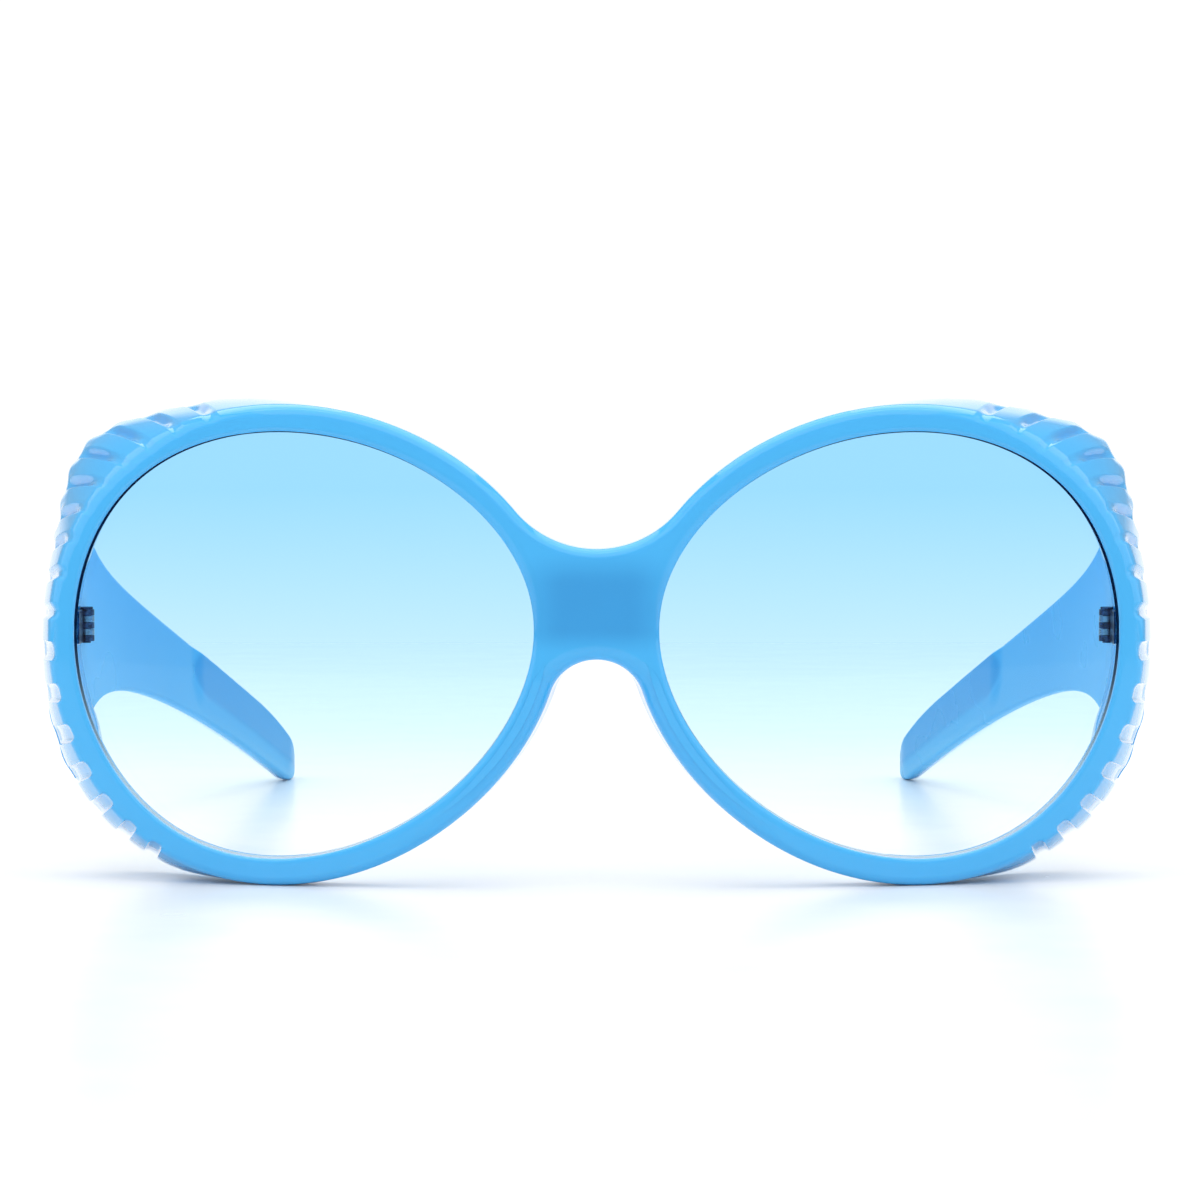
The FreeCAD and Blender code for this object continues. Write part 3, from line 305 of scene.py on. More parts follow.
class FinishColours(bpy.types.PropertyGroup):
    """Colours of the finishes."""

    plastic: colour("Plastic", "Light blue of the front and temples", (0.066, 0.465, 0.9))
    # Painted shade: the deeper blue painted over the bridge's thick middle, where it takes less light than
    # the thin rims
    plastic_deep: colour("Deep plastic", "Deeper blue where the plastic is thick", (0.036, 0.305, 0.68))
    # Painted light and shade inside the temples: lighter at the hinge, where light comes through the lens,
    # and a deeper blue towards the tip pad
    inside: colour("Inside", "Light blue inside the temples at the hinge", (0.12, 0.62, 0.98))
    inside_shaded: colour("Deep inside", "Deeper blue inside the temples at the tip pad", (0.02, 0.36, 0.74))
    lens_top: colour("Lens top", "What one face of the lens lets through at its top", (0.565, 0.83, 1.0))
    lens_middle: colour("Lens middle", "What one face lets through at two thirds down", (0.815, 0.942, 1.0))
    # The ground edge is painted dark navy at the top as the shade in the rim's groove, partly also the tint
    # seen end on, and pale at the bottom where the lens is clear
    lens_edge: colour("Lens edge", "Ground edge of the lens", (0.006, 0.02, 0.075))
    lens_edge_low: colour("Low lens edge", "Ground edge of the lens where it is clear", (0.7, 0.8, 0.86))
    # Lit and shaded copies of the nickel: the temples' leaves are painted light, and the front's leaves and
    # the screws dark, for the barrels' alternating light and shade
    metal: colour("Metal", "Nickel of the temples' hinge leaves", (0.42, 0.52, 0.62))
    metal_dark: colour("Dark metal", "Dark nickel of the front leaves and the screws", (0.03, 0.045, 0.08))
    floor: colour("Floor", "Pale floor", (0.87, 0.872, 0.875))


class StageSizes(bpy.types.PropertyGroup):
    """Camera and light."""

    camera_distance: length("Camera distance", "Camera to the front of the bridge", 500.0)
    camera_height: length("Camera height", "Height of the camera", 68.9)
    camera_offset: length("Camera offset", "Camera to the right of the middle", 0.467)
    camera_tilt: number("Camera tilt", "How far the camera looks down", 3.393)
    focal_length: number("Focal length", "Focal length in millimetres on a 36 mm sensor", 112.5)
    floor_width: length("Floor width", "Width of the floor", 1200.0)
    floor_front: length("Floor front", "How far the floor reaches to the front", 320.0)
    floor_back: length("Floor back", "How far the floor reaches to the back", 400.0)


class SunglassesSettings(bpy.types.PropertyGroup):
    """All sizes and colours of the sunglasses."""

    lens: bpy.props.PointerProperty(type=LensSizes)
    rim: bpy.props.PointerProperty(type=RimSizes)
    flank: bpy.props.PointerProperty(type=FlankSizes)
    temple: bpy.props.PointerProperty(type=TempleSizes)
    hinge: bpy.props.PointerProperty(type=HingeSizes)
    finish: bpy.props.PointerProperty(type=FinishColours)
    stage: bpy.props.PointerProperty(type=StageSizes)


def settings():
    """Return the scene's settings."""
    return bpy.context.scene.sunglasses


def blend(start, end, share):
    """Return the value that lies at a share of the way from start to end."""
    return start + (end - start) * share


def fade(value, start, end):
    """Rise smoothly from 0 at start to 1 at end."""
    share = np.clip((value - start) / (end - start), 0.0, 1.0)
    return share * share * (3 - 2 * share)


def bell(value, centre, width):
    """Return a smooth bump of height 1."""
    return np.exp(-(((value - centre) / width) ** 2))


def bisect(function, low, high):
    """Return where a function that rises from low to high crosses zero."""
    for _ in range(HALVINGS):
        middle = (low + high) / 2
        if function(middle) > 0:
            high = middle
        else:
            low = middle
    return (low + high) / 2


# Outline of the front


def front_y():
    """Return where the front of the bridge lies."""
    return -(settings().flank.depth + settings().temple.gap + settings().temple.reach) / 2


def parting_y():
    """Return where the flank ends."""
    return front_y() + settings().flank.depth


def temple_y():
    """Return where the temple begins."""
    return parting_y() + settings().temple.gap


def lens_middle_z():
    """Return the height of the lens middle."""
    return settings().rim.width + settings().lens.height / 2


def face_x():
    """Return where the flank's inner wall and the temple's inner face lie."""
    lens = settings().lens
    return lens.distance / 2 + lens.width + settings().flank.wall_inset


def facing(angle):
    """Return the direction that the outline faces at each angle."""
    turn = np.radians(angle)
    return np.stack([np.cos(turn), np.sin(turn)], axis=-1)


def lens_point(angle, offset):
    """Return the points of the left lens outline, moved outwards by offset, that face each angle."""
    lens = settings().lens
    turn, egg_turn = np.radians(angle), math.radians(lens.egg_angle)
    stretch = lens.width - lens.height
    reach = (lens.width + lens.height) / 4 + stretch / 4 * np.cos(2 * turn)
    reach = reach + lens.lean * np.sin(2 * turn) + lens.egg * np.cos(3 * turn - egg_turn) + offset
    slide = -stretch / 2 * np.sin(2 * turn) + 2 * lens.lean * np.cos(2 * turn)
    slide = slide - 3 * lens.egg * np.sin(3 * turn - egg_turn)
    across, up = np.cos(turn), np.sin(turn)
    middle_x = (lens.distance + lens.width) / 2 - lens.egg * math.cos(egg_turn)
    middle_z = lens_middle_z() - lens.egg * math.cos(1.5 * math.pi - egg_turn)
    x, z = middle_x + reach * across - slide * up, middle_z + reach * up + slide * across
    return np.stack([x, z], axis=-1)


def wrap(spots):
    """Return how far the wrapped front lies behind the bridge."""
    radius = settings().lens.wrap_radius
    return radius - np.sqrt(radius**2 - spots[..., 0] ** 2 - (spots[..., 1] - lens_middle_z()) ** 2)


def flank_reach(angle):
    """Return 1 where the flank runs back to the temple and 0 where the rim is plain."""
    return fade(angle, *FLANK_TOP_ANGLES) * fade(angle, *FLANK_LOW_ANGLES)


def flank_flare(angle):
    """Return how far the flank's rear edge stands out beyond the rim."""
    flank = settings().flank
    flare = flank.flare + flank.top_flare * bell(angle, flank.top_flare_angle, TOP_FLARE_SPREAD)
    flare = flare + flank.low_flare * bell(angle, flank.low_flare_angle, LOW_FLARE_SPREAD)
    return flare * fade(angle, *FLARE_TOP_ANGLES) * fade(angle, *FLARE_LOW_ANGLES)


def flute_pitch():
    """Return the angle between two flutes."""
    return (settings().flank.first_flute - settings().flank.last_flute) / (FLUTES - 1)


def flute_form(centre, is_rear=False):
    """Return where flutes begin, are deepest and end, outwards from their centres."""
    if is_rear:
        return REAR_FLUTE_SHARES
    forms = np.where(np.asarray(centre)[..., None] > 0, UPPER_FLUTE_SHARES, LOWER_FLUTE_SHARES)
    return np.moveaxis(forms, -1, 0)


def flute_angles():
    """Return the angles that catch the flutes' form, from the uppermost to the lowest."""
    angles = []
    for centre in np.linspace(settings().flank.first_flute, settings().flank.last_flute, FLUTES):
        start, low, high, end = flute_form(centre)
        land = np.linspace(end, start + 1, LAND_STEPS + 1)[1:-1]
        steps = 1 - np.cos(np.linspace(0, math.pi / 2, FLUTE_STEPS))
        shares = np.concatenate([blend(start, low, steps), blend(end, high, steps), land])
        angles.append(centre + flute_pitch() * np.sign(centre) * shares)
    return np.sort(np.concatenate(angles))[::-1]


def flute(angle, is_rear=False):
    """Return the flutes' depth at angles as a share: hollows in the upper half, round bites below."""
    flank, pitch = settings().flank, flute_pitch()
    nearest = np.clip(np.round((flank.first_flute - angle) / pitch), 0, FLUTES - 1)
    centre = flank.first_flute - nearest * pitch
    outwards = (angle - centre) / pitch * np.sign(centre)
    start, low, high, end = flute_form(centre, is_rear)
    hollow = fade(outwards, start, low) * fade(outwards, end, high)
    if is_rear:
        return hollow * np.where(centre > 0, *REAR_BITE_SHARES)
    rise = np.clip((outwards - start) / (low - start), 0.0, 1.0)
    fall = np.clip((outwards - end) / (high - end), 0.0, 1.0)
    return np.where(centre > 0, hollow, np.sqrt(rise * (2 - rise) * fall * (2 - fall)))


def rear_angle(angle):
    """Return the outline angle at which a flute that begins at an angle reaches the rear edge."""
    lean = settings().flank.flute_lean * np.sin(np.pi * np.maximum(angle, 0.0) / LEAN_SPAN)
    return angle - lean * flank_reach(angle)


def bite_share(angle):
    """Return the share of the flute's depth that is left at the front's edge."""
    return blend(settings().flank.top_bite, settings().flank.low_bite, fade(angle, *BITE_ANGLES))


def flank_swell(angle):
    """Return the share of the flare that the surface heads for halfway to the rear."""
    flank = blend(*FLANK_SWELL_SHARES, fade(angle, *SWELL_ANGLES))
    return blend(NOSE_SWELL_SHARE, flank, fade(angle, *NOSE_SWELL_ANGLES))


def wall_offset(angle):
    """Return how far the flank's inner wall lies outside the lens opening at the rear."""
    flank = settings().flank
    return flank.wall_inset + flank.wall_flare * fade(angle, *WALL_FLARE_ANGLES) * flank_reach(angle)


def nasal(angle):
    """Return 1 where the outline faces the nose and 0 where it faces the temple."""
    return fade(-np.cos(np.radians(angle)), *NASAL_SHARES)


def nose_pad(angle):
    """Return 1 where the moulded nose pad is deepest and 0 away from it."""
    return fade(angle, *PAD_LOW_ANGLES) * fade(angle, *PAD_TOP_ANGLES)


def bridge_arc(angle):
    """Return the radius and centre height of the bridge arc that leaves the rim at an angle."""
    (x, z), (across, up) = lens_point(angle, settings().rim.width), facing(angle)
    radius = -x / across
    return radius, z + radius * up


def bridge_ends():
    """Return the heights of the bridge's top and arch at its middle."""
    top = lens_middle_z() + settings().rim.bridge_rise
    return top, top - settings().rim.bridge_height


def bridge_angles():
    """Return the outline angles where the bridge's two arcs leave the rim."""
    top, arch = bridge_ends()

    def top_error(angle):
        radius, centre = bridge_arc(angle)
        return top - (centre - radius)

    def arch_error(angle):
        radius, centre = bridge_arc(angle)
        return arch - (centre + radius)

    return bisect(top_error, *BRIDGE_TOP_ANGLES), bisect(arch_error, *BRIDGE_ARCH_ANGLES) - 360


@dataclass
class Places:
    """Places round one half of the front, in order.

    The outer outline and its normals at the front and at the rear edge, the lens outline angles
    beside them, and how much flank, nose pad, flare and flute each place has.
    """

    front: np.ndarray
    front_normal: np.ndarray
    rear: np.ndarray
    rear_normal: np.ndarray
    inner: np.ndarray
    rear_inner: np.ndarray
    reach: np.ndarray
    nose: np.ndarray
    flare: np.ndarray
    flute: np.ndarray
    rear_flute: np.ndarray
    is_middle: np.ndarray


def rim_places(top_angle, arch_angle):
    """Return the places along the rim, from the bridge's top round to its arch."""
    flank, width = settings().flank, settings().rim.width
    start, end = flank.first_flute + flute_pitch(), flank.last_flute - flute_pitch()
    lead = round(RIM_STEPS * (top_angle - start) / (top_angle - start + end - arch_angle))
    angle = np.concatenate([
        np.linspace(top_angle, start, lead, endpoint=False),
        flute_angles(),
        np.linspace(end, arch_angle, RIM_STEPS - lead, endpoint=False),
    ])
    rear = rear_angle(angle)
    nose = nose_pad(angle)
    return Places(
        lens_point(angle, width),
        facing(angle),
        lens_point(rear, width),
        facing(rear),
        angle,
        rear,
        flank_reach(rear),
        nose,
        flank_flare(rear) + settings().rim.pad_flare * nose,
        flute(angle),
        flute(angle, True),
        np.zeros(len(angle), bool),
    )


def plain_places(points, normals, inner, nose, flare, is_middle):
    """Return places that have no flank."""
    none = np.zeros(len(points))
    middle = np.full(len(points), is_middle)
    return Places(points, normals, points, normals, inner, inner, none, nose, flare, none, none, middle)


def arc_places(angle, ends, nose_ends, is_backwards):
    """Return the places along half of a bridge arc."""
    radius, centre = bridge_arc(angle)
    x, z = lens_point(angle, settings().rim.width)
    middle = 0.0 if centre < bridge_ends()[1] else math.pi
    share = np.linspace(0, 1, ARC_STEPS + 1)
    share = share[:0:-1] if is_backwards else share[:-1]
    turn = blend(math.atan2(x, z - centre), middle, share)
    normals = np.stack([-np.sin(turn), -np.cos(turn)], axis=-1)
    points = np.array([0.0, centre]) - normals * radius
    nose = blend(*nose_ends, fade(share, 0, 1))
    return plain_places(points, normals, blend(*ends, share), nose, settings().rim.pad_flare * nose, False)


def middle_places(ends):
    """Return the places up the middle of the bridge, where its two halves meet."""
    top, arch = bridge_ends()
    share = np.linspace(0, 1, MIDDLE_STEPS + 1)
    none = np.zeros(len(share))
    points = np.stack([none, blend(arch, top, share)], axis=-1)
    normals = np.stack([none, blend(-1, 1, share)], axis=-1)
    nose = blend(BRIDGE_NOSE_SHARE, 0.0, fade(share, 0, 1))
    flare = settings().rim.pad_flare * BRIDGE_NOSE_SHARE * np.maximum(1 - 2 * share, 0.0)
    return plain_places(points, normals, blend(*ends, share), nose, flare, True)


def front_places():
    """Return all places round one half of the front."""
    top_angle, arch_angle = bridge_angles()
    round_angle = top_angle - 360
    splits = [blend(arch_angle, round_angle, share) for share in NASAL_SPLIT_SHARES]
    runs = [
        rim_places(top_angle, arch_angle),
        arc_places(arch_angle, (arch_angle, splits[0]), (nose_pad(arch_angle), BRIDGE_NOSE_SHARE), False),
        middle_places(splits),
        arc_places(top_angle, (round_angle, splits[1]), (0.0, 0.0), True),
    ]
    names = Places.__dataclass_fields__
    return Places(*(np.concatenate([getattr(run, name) for run in runs]) for name in names))


# Meshes


def ruled(start, end, steps):
    """Return rows of points from one ring to another, without the last."""
    return [blend(start, end, step / steps) for step in range(steps)]


def swung(start, corner, end, steps, is_round=True):
    """Return rows of points that swing from one ring to another, without the last."""
    weight = math.sqrt(1 / 2) if is_round else 1.0
    rows = []
    for step in range(steps):
        share = step / steps
        parts = (1 - share) ** 2, 2 * share * (1 - share) * weight, share**2
        rows.append((start * parts[0] + corner * parts[1] + end * parts[2]) / sum(parts))
    return rows


def front_rows(places):
    """Return the rows of points round the rim's section, and how many of them lie on the outside."""
    lens, rim, flank = settings().lens, settings().rim, settings().flank
    edge = blend(flank.low_round, flank.top_round, fade(places.inner, *SOFT_EDGE_ANGLES))
    outer_round = blend(rim.outer_round, edge, places.reach) + rim.arch_round * places.nose

    def outer(offset, is_rear=False):
        outline = places.rear if is_rear else places.front
        normal = places.rear_normal if is_rear else places.front_normal
        return outline + normal * np.asarray(offset)[..., None]

    def inner(offset, is_rear=False):
        return lens_point(places.rear_inner if is_rear else places.inner, offset)

    def on_front(spots, depth):
        return np.stack([spots[:, 0], front_y() + wrap(spots) + depth, spots[:, 1]], axis=-1)

    def on_rear(spots, lift=0.0):
        plain = front_y() + wrap(spots) + rim.thickness + rim.lip + rim.pad_depth * places.nose
        return np.stack([spots[:, 0], blend(plain, parting_y(), places.reach) - lift, spots[:, 1]], axis=-1)

    front_bite = flank.flute_depth * places.flute * bite_share(places.inner)
    middle_share = blend(1.0, flank.low_bite, fade(places.inner, *BITE_ANGLES))
    middle_bite = flank.flute_depth * places.flute * middle_share
    face_bite = front_bite * bite_share(places.inner) * FACE_BITE_SHARE
    rear_bite = flank.flute_depth * places.rear_flute
    rear_offset = places.flare - rear_bite
    brim = on_rear(outer(rear_offset, True), flank.edge_round)
    brim_corner = on_rear(outer(rear_offset, True))
    brim_back = on_rear(outer(rear_offset - flank.edge_round, True))

    start, end = on_front(outer(0.0), outer_round), on_rear(outer(places.flare, True), flank.edge_round)
    half_offset = places.flare * flank_swell(places.rear_inner)
    half_way = (outer(half_offset) + outer(half_offset, True)) / 2
    swell = np.stack([half_way[:, 0], (start[:, 1] + end[:, 1]) / 2, half_way[:, 1]], axis=-1)
    flanks = swung(start, swell, end, FLANK_ROWS, False)
    for row, points in enumerate(flanks):
        share = row / FLANK_ROWS
        bite = blend(front_bite, middle_bite, fade(share, *FLUTE_FRONT_SHARES))
        bite = blend(bite, rear_bite, fade(share, *FLUTE_REAR_SHARES))
        points[:, ::2] -= blend(places.front_normal, places.rear_normal, share) * bite[:, None]

    ahead = outer_round / (swell - start)[:, 1]
    corner_spots = (flanks[0] - (swell - start) * ahead[:, None])[:, ::2]
    face_inset = outer_round - front_bite + face_bite
    corner = on_front(corner_spots, 0.0)
    face = on_front(corner_spots - places.front_normal * face_inset[:, None], 0.0)
    outside = swung(face, corner, flanks[0], ROUND_ROWS) + flanks
    outside += swung(brim, brim_corner, brim_back, ROUND_ROWS)

    inset, land, foot, back = flank.wall_inset, flank.land_round, rim.foot_round, rim.back_round
    top = wall_offset(places.rear_inner)
    land_end = on_rear(inner(top + land, True))
    inside = ruled(brim_back, land_end, 1)
    wall_top = on_rear(inner(top, True), land)
    inside += swung(land_end, on_rear(inner(top, True)), wall_top, ROUND_ROWS // 2)
    wall_foot = on_front(inner(inset), rim.thickness + foot)
    inside += ruled(wall_top, wall_foot, 2)
    ledge = on_front(inner(inset - foot), rim.thickness)
    inside += swung(wall_foot, on_front(inner(inset), rim.thickness), ledge, ROUND_ROWS // 2)
    back_start = on_front(inner(back), rim.thickness)
    inside += ruled(ledge, back_start, 1)
    back_end = on_front(inner(0.0), rim.thickness - back)
    inside += swung(back_start, on_front(inner(0.0), rim.thickness), back_end, ROUND_ROWS // 2)
    groove = lens.bevel + lens.clearance
    groove_front = lens.setback - lens.clearance
    groove_back = lens.setback + lens.thickness + lens.clearance
    inside += [back_end, on_front(inner(0.0), groove_back), on_front(inner(groove), groove_back)]
    inside += [on_front(inner(groove), groove_front), on_front(inner(0.0), groove_front)]
    soft = nasal(places.inner)
    opening = on_front(inner(0.0), rim.inner_depth + rim.nasal_depth * soft)
    opening_face = on_front(inner(rim.inner_round + rim.nasal_round * soft), 0.0)
    inside += swung(opening, on_front(inner(0.0), 0.0), opening_face, ROUND_ROWS)
    inner_spots, outer_spots = opening_face[:, ::2], face[:, ::2]
    shares = np.arange(FACE_ROWS) / FACE_ROWS
    inside += [on_front(blend(inner_spots, outer_spots, share), 0.0) for share in shares]
    return outside + inside, len(outside)


def new_object(name, vertices, faces, materials=None):
    """Make a mesh object from points and faces, with its faces turned outwards."""
    mesh = bpy.data.meshes.new(name)
    mesh.from_pydata([tuple(point) for point in vertices], [], faces)
    if materials:
        mesh.polygons.foreach_set("material_index", materials)
    work = bmesh.new()
    work.from_mesh(mesh)
    bmesh.ops.remove_doubles(work, verts=work.verts, dist=MERGE_DISTANCE)
    bmesh.ops.recalc_face_normals(work, faces=work.faces)
    work.to_mesh(mesh)
    work.free()
    piece = bpy.data.objects.new(name, mesh)
    bpy.context.scene.collection.objects.link(piece)
    return piece


def smooth(piece):
    """Shade a piece smooth, apart from its real corners."""
    piece.data.shade_smooth()
    piece.data.set_sharp_from_angle(angle=SHARP_ANGLE)


def grid_faces(row_count, column_count, keeps=None):
    """Return the quads of a grid whose rows and columns both close into rings."""
    faces = []
    for row in range(row_count):
        for column in range(column_count):
            if keeps is None or keeps(row, column):
                below, beside = (row + 1) % row_count, (column + 1) % column_count
                faces.append((
                    row * column_count + column,
                    row * column_count + beside,
                    below * column_count + beside,
                    below * column_count + column,
                ))
    return faces


def front_mesh():
    """Make the whole front from the places of one half and their mirror images."""
    places = front_places()
    rows, outside_rows = front_rows(places)
    count = len(places.inner)
    points = np.concatenate(rows)

    def keeps(row, column):
        is_seam = places.is_middle[column] and places.is_middle[(column + 1) % count]
        return row >= outside_rows or not is_seam

    faces = grid_faces(len(rows), count, keeps)
    first_rows = np.array([face[0] // count for face in faces])
    has_flank = places.reach[[face[0] % count for face in faces]] > MIN_REACH
    is_flank = (first_rows >= ROUND_ROWS // 2) & (first_rows < outside_rows) & has_flank
    mirrored = points * np.array([-1.0, 1.0, 1.0])
    faces += [tuple(index + len(points) for index in face) for face in faces]
    materials = is_flank.astype(int).tolist() * 2
    return new_object("frame_front_shell", np.concatenate([points, mirrored]), faces, materials)


def cut_seat(piece, side):
    """Cut the seat of a hinge leaf and the room for the knuckles into a piece."""
    hinge = settings().hinge
    wall = hinge.knuckle_radius + hinge.knuckle_clearance
    axis_x = SIDES[side] * (face_x() + hinge.leaf_sink - wall)
    axis = Vector((axis_x, (parting_y() + temple_y()) / 2, lens_middle_z() + hinge.rise))
    seat_length = hinge.leaf_length + hinge.leaf_clearance
    seat_half = hinge.height / 2 + hinge.leaf_clearance
    relief_height = hinge.height + 2 * (hinge.head_height + hinge.knuckle_clearance)
    place = Matrix.Translation(axis)
    stretch = Matrix.Diagonal((wall, seat_length, seat_half, 1.0))
    seat, relief = bmesh.new(), bmesh.new()
    bmesh.ops.create_cube(seat, size=2.0, matrix=place @ stretch)
    bmesh.ops.create_cone(
        relief,
        cap_ends=True,
        segments=CUTTER_STEPS,
        radius1=wall,
        radius2=wall,
        depth=relief_height,
        matrix=place,
    )
    for work in (seat, relief):
        mesh = bpy.data.meshes.new("hinge_cutter")
        work.to_mesh(mesh)
        work.free()
        cutter = bpy.data.objects.new(mesh.name, mesh)
        bpy.context.scene.collection.objects.link(cutter)
        modifier = piece.modifiers.new("hinge seat", "BOOLEAN")
        modifier.operation = "DIFFERENCE"
        modifier.solver = "EXACT"
        modifier.object = cutter
        with bpy.context.temp_override(object=piece, active_object=piece):
            bpy.ops.object.modifier_apply(modifier=modifier.name)
        bpy.data.objects.remove(cutter)


# Temples


def rear_outline(angle, flute_depth, is_rear=False):
    """Return the flank's rear outline at rear angles, with flutes of the given depth."""
    table = np.linspace(FLANK_LOW_ANGLES[0], FLANK_TOP_ANGLES[0], OUTLINE_STEPS)
    front_angle = np.interp(angle, rear_angle(table), table)
    offset = settings().rim.width + flank_flare(angle) - flute_depth * flute(front_angle, is_rear)
    proud = settings().temple.fan_proud * fade(angle, *FAN_PROUD_ANGLES)
    return lens_point(angle, offset + proud)


@dataclass
class Fan:
    """Front corners of the temple: their outline angles, half height and middle height."""

    low: float
    high: float
    half: float
    middle: float


def temple_fan():
    """Return the temple's front corners."""
    corner = face_x() + settings().temple.edge

    def outside(angle):
        return rear_outline(np.array(angle), 0.0)[0] - corner

    low = bisect(outside, *FAN_ANGLES)
    high = -bisect(lambda angle: outside(-angle), *FAN_ANGLES)
    bottom, top = rear_outline(np.array([low, high]), 0.0)[:, 1]
    return Fan(low, high, (top - bottom) / 2, (top + bottom) / 2)


def tip_round(run, span):
    """Return how much of the temple's section is left where it rounds off over its last span."""
    into_tip = np.clip((run - settings().temple.reach + span) / span, 0.0, 1.0)
    return np.sqrt(1 - into_tip**2)


def arm_half_height(run, fan):
    """Return half the temple's height at a distance behind its front."""
    temple = settings().temple
    half = temple.half_height + temple.taper * np.exp(-run / temple.taper_length)
    half = half + (fan.half - temple.half_height - temple.taper) * np.exp(-run / temple.fan_length)
    return half * tip_round(run, temple.tip_length)


def middle_line(run, fan):
    """Return the height of the temple's middle line, whose tip rests on the ground."""
    reach = settings().temple.reach
    rear = np.linspace(reach / 2, reach, TIP_SEARCH_STEPS)
    drop = np.min((fan.middle - arm_half_height(rear, fan)) / (rear / reach) ** DROP_POWER)
    return fan.middle - drop * (run / reach) ** DROP_POWER


def inner_face(run):
    """Return where the temple's inner face lies: straight at the hinge, then bent inwards."""
    temple = settings().temple
    bend = np.maximum(run - temple.straight, 0.0) / (temple.reach - temple.straight)
    return face_x() - temple.inward * bend**INWARD_POWER


def pad_cover(run, height, fan):
    """Return how much of the tip pad's height stands at a place of the inner face."""
    temple = settings().temple
    start = temple.reach - temple.pad_length
    half = arm_half_height(run, fan) - temple.pad_margin
    forward = np.maximum(start + temple.pad_nose - run, 0.0) / temple.pad_nose * half
    inside = half - np.hypot(forward, np.minimum(height, 0.0))
    slope = blend(temple.pad_slope, temple.pad_low_slope, fade(height, 0.0, -half / 2))
    front_end = fade(run, start, start + temple.pad_front)
    tip_end = fade(run, temple.reach, temple.reach - temple.tip_length)
    return fade(inside, 0.0, slope) * front_end * tip_end


def temple_loops():
    """Return the left temple's section loops from front to tip."""
    temple, flank = settings().temple, settings().flank
    fan = temple_fan()
    tip_start = temple.reach - temple.tip_length
    body = np.linspace(0.0, 1.0, TEMPLE_ROWS) ** ROW_POWER * tip_start
    turn = np.linspace(0, math.pi / 2, TIP_ROWS + 1)[1:]
    runs = np.concatenate([body, temple.reach - temple.tip_length * (1 - np.sin(turn))])
    angle = rear_angle(flute_angles())
    angle = np.sort(np.concatenate([angle[(angle > fan.low) & (angle < fan.high)], [fan.low, fan.high]]))
    plain = rear_outline(angle, 0.0)
    flutes = [rear_outline(angle, flank.flute_depth, is_rear) - plain for is_rear in (True, False)]
    height = (plain[:, 1] - fan.middle) / fan.half
    crown = temple.crown * np.maximum(1 - np.abs(height) ** CROWN_POWER, 0.0) ** (1 / CROWN_POWER)
    loops = []
    for run in runs:
        half, middle, inner = arm_half_height(run, fan), middle_line(run, fan), inner_face(run)
        slope_half = arm_half_height(min(run, tip_start), fan) * tip_round(run, temple.tip_slope)
        upper = min(half, slope_half)
        fan_share = math.exp(-run / temple.crown_length)
        flute_share = half / fan.half * bell(run, 0.0, temple.flute_fade)
        outside_x = inner + temple.edge + blend(crown, plain[:, 0] - face_x() - temple.edge, fan_share)
        outside_z = middle + height * np.where(height > 0, upper, half)
        fluting = blend(*flutes, fade(run, 0.0, temple.flute_rise)) * flute_share
        outside = np.stack([outside_x, outside_z], axis=-1) + fluting
        edge = min(temple.edge_round, upper / 2)
        top, low = middle + upper, middle - half
        rounds = []
        for level, way in ((top, -1), (low, 1)):
            proud = inner - temple.pad_height * pad_cover(run, level + way * edge - middle, fan)
            corner, end = np.array([[proud, level], [proud, level + way * edge]])
            rounds.append(swung(np.array([inner + edge, level]), corner, end, ROUND_ROWS) + [end])
        level = np.linspace(top - edge, low + edge, INNER_STEPS + 1)[1:-1]
        proud = temple.pad_height * pad_cover(run, level - middle, fan)
        face = np.stack([inner - proud, level], axis=-1)
        loop = np.concatenate([outside, rounds[0], face, rounds[1][::-1]])
        loop[:, 0] = blend(inner + temple.edge, loop[:, 0], tip_round(run, temple.tip_length))
        loops.append(np.insert(loop, 1, temple_y() + run, axis=1))
    return loops


def capped(loops):
    """Return section loops with a rounded edge at their front end."""
    radius = settings().temple.cap_round
    first = loops[0]
    along = np.roll(first, -1, axis=0) - np.roll(first, 1, axis=0)
    inward = np.stack([-along[:, 2], np.zeros(len(first)), along[:, 0]], axis=-1)
    inward /= np.linalg.norm(inward, axis=1)[:, None]
    rows = []
    for row in range(CAP_ROWS):
        turn = math.pi / 2 * row / CAP_ROWS
        loop = first + inward * radius * (1 - math.sin(turn))
        loop[:, 1] += radius * (1 - math.cos(turn))
        rows.append(loop)
    return rows + [loop for loop in loops if loop[0, 1] >= first[0, 1] + radius]


def temple_mesh(side):
    """Make one temple from its section loops."""
    loops = capped(temple_loops())
    count = len(loops[0])
    points = np.concatenate(loops) * np.array([SIDES[side], 1.0, 1.0])
    last = len(loops) - 1
    faces = grid_faces(len(loops), count, lambda row, column: row != last)
    inner_start = count - INNER_STEPS - 2 * ROUND_ROWS - 2
    is_inner = [int(index % count > inner_start) for index in range(len(faces))]
    faces.append(tuple(range(count)))
    return new_object(f"temple_{side}_arm", points, faces, is_inner + [0])


# Lenses


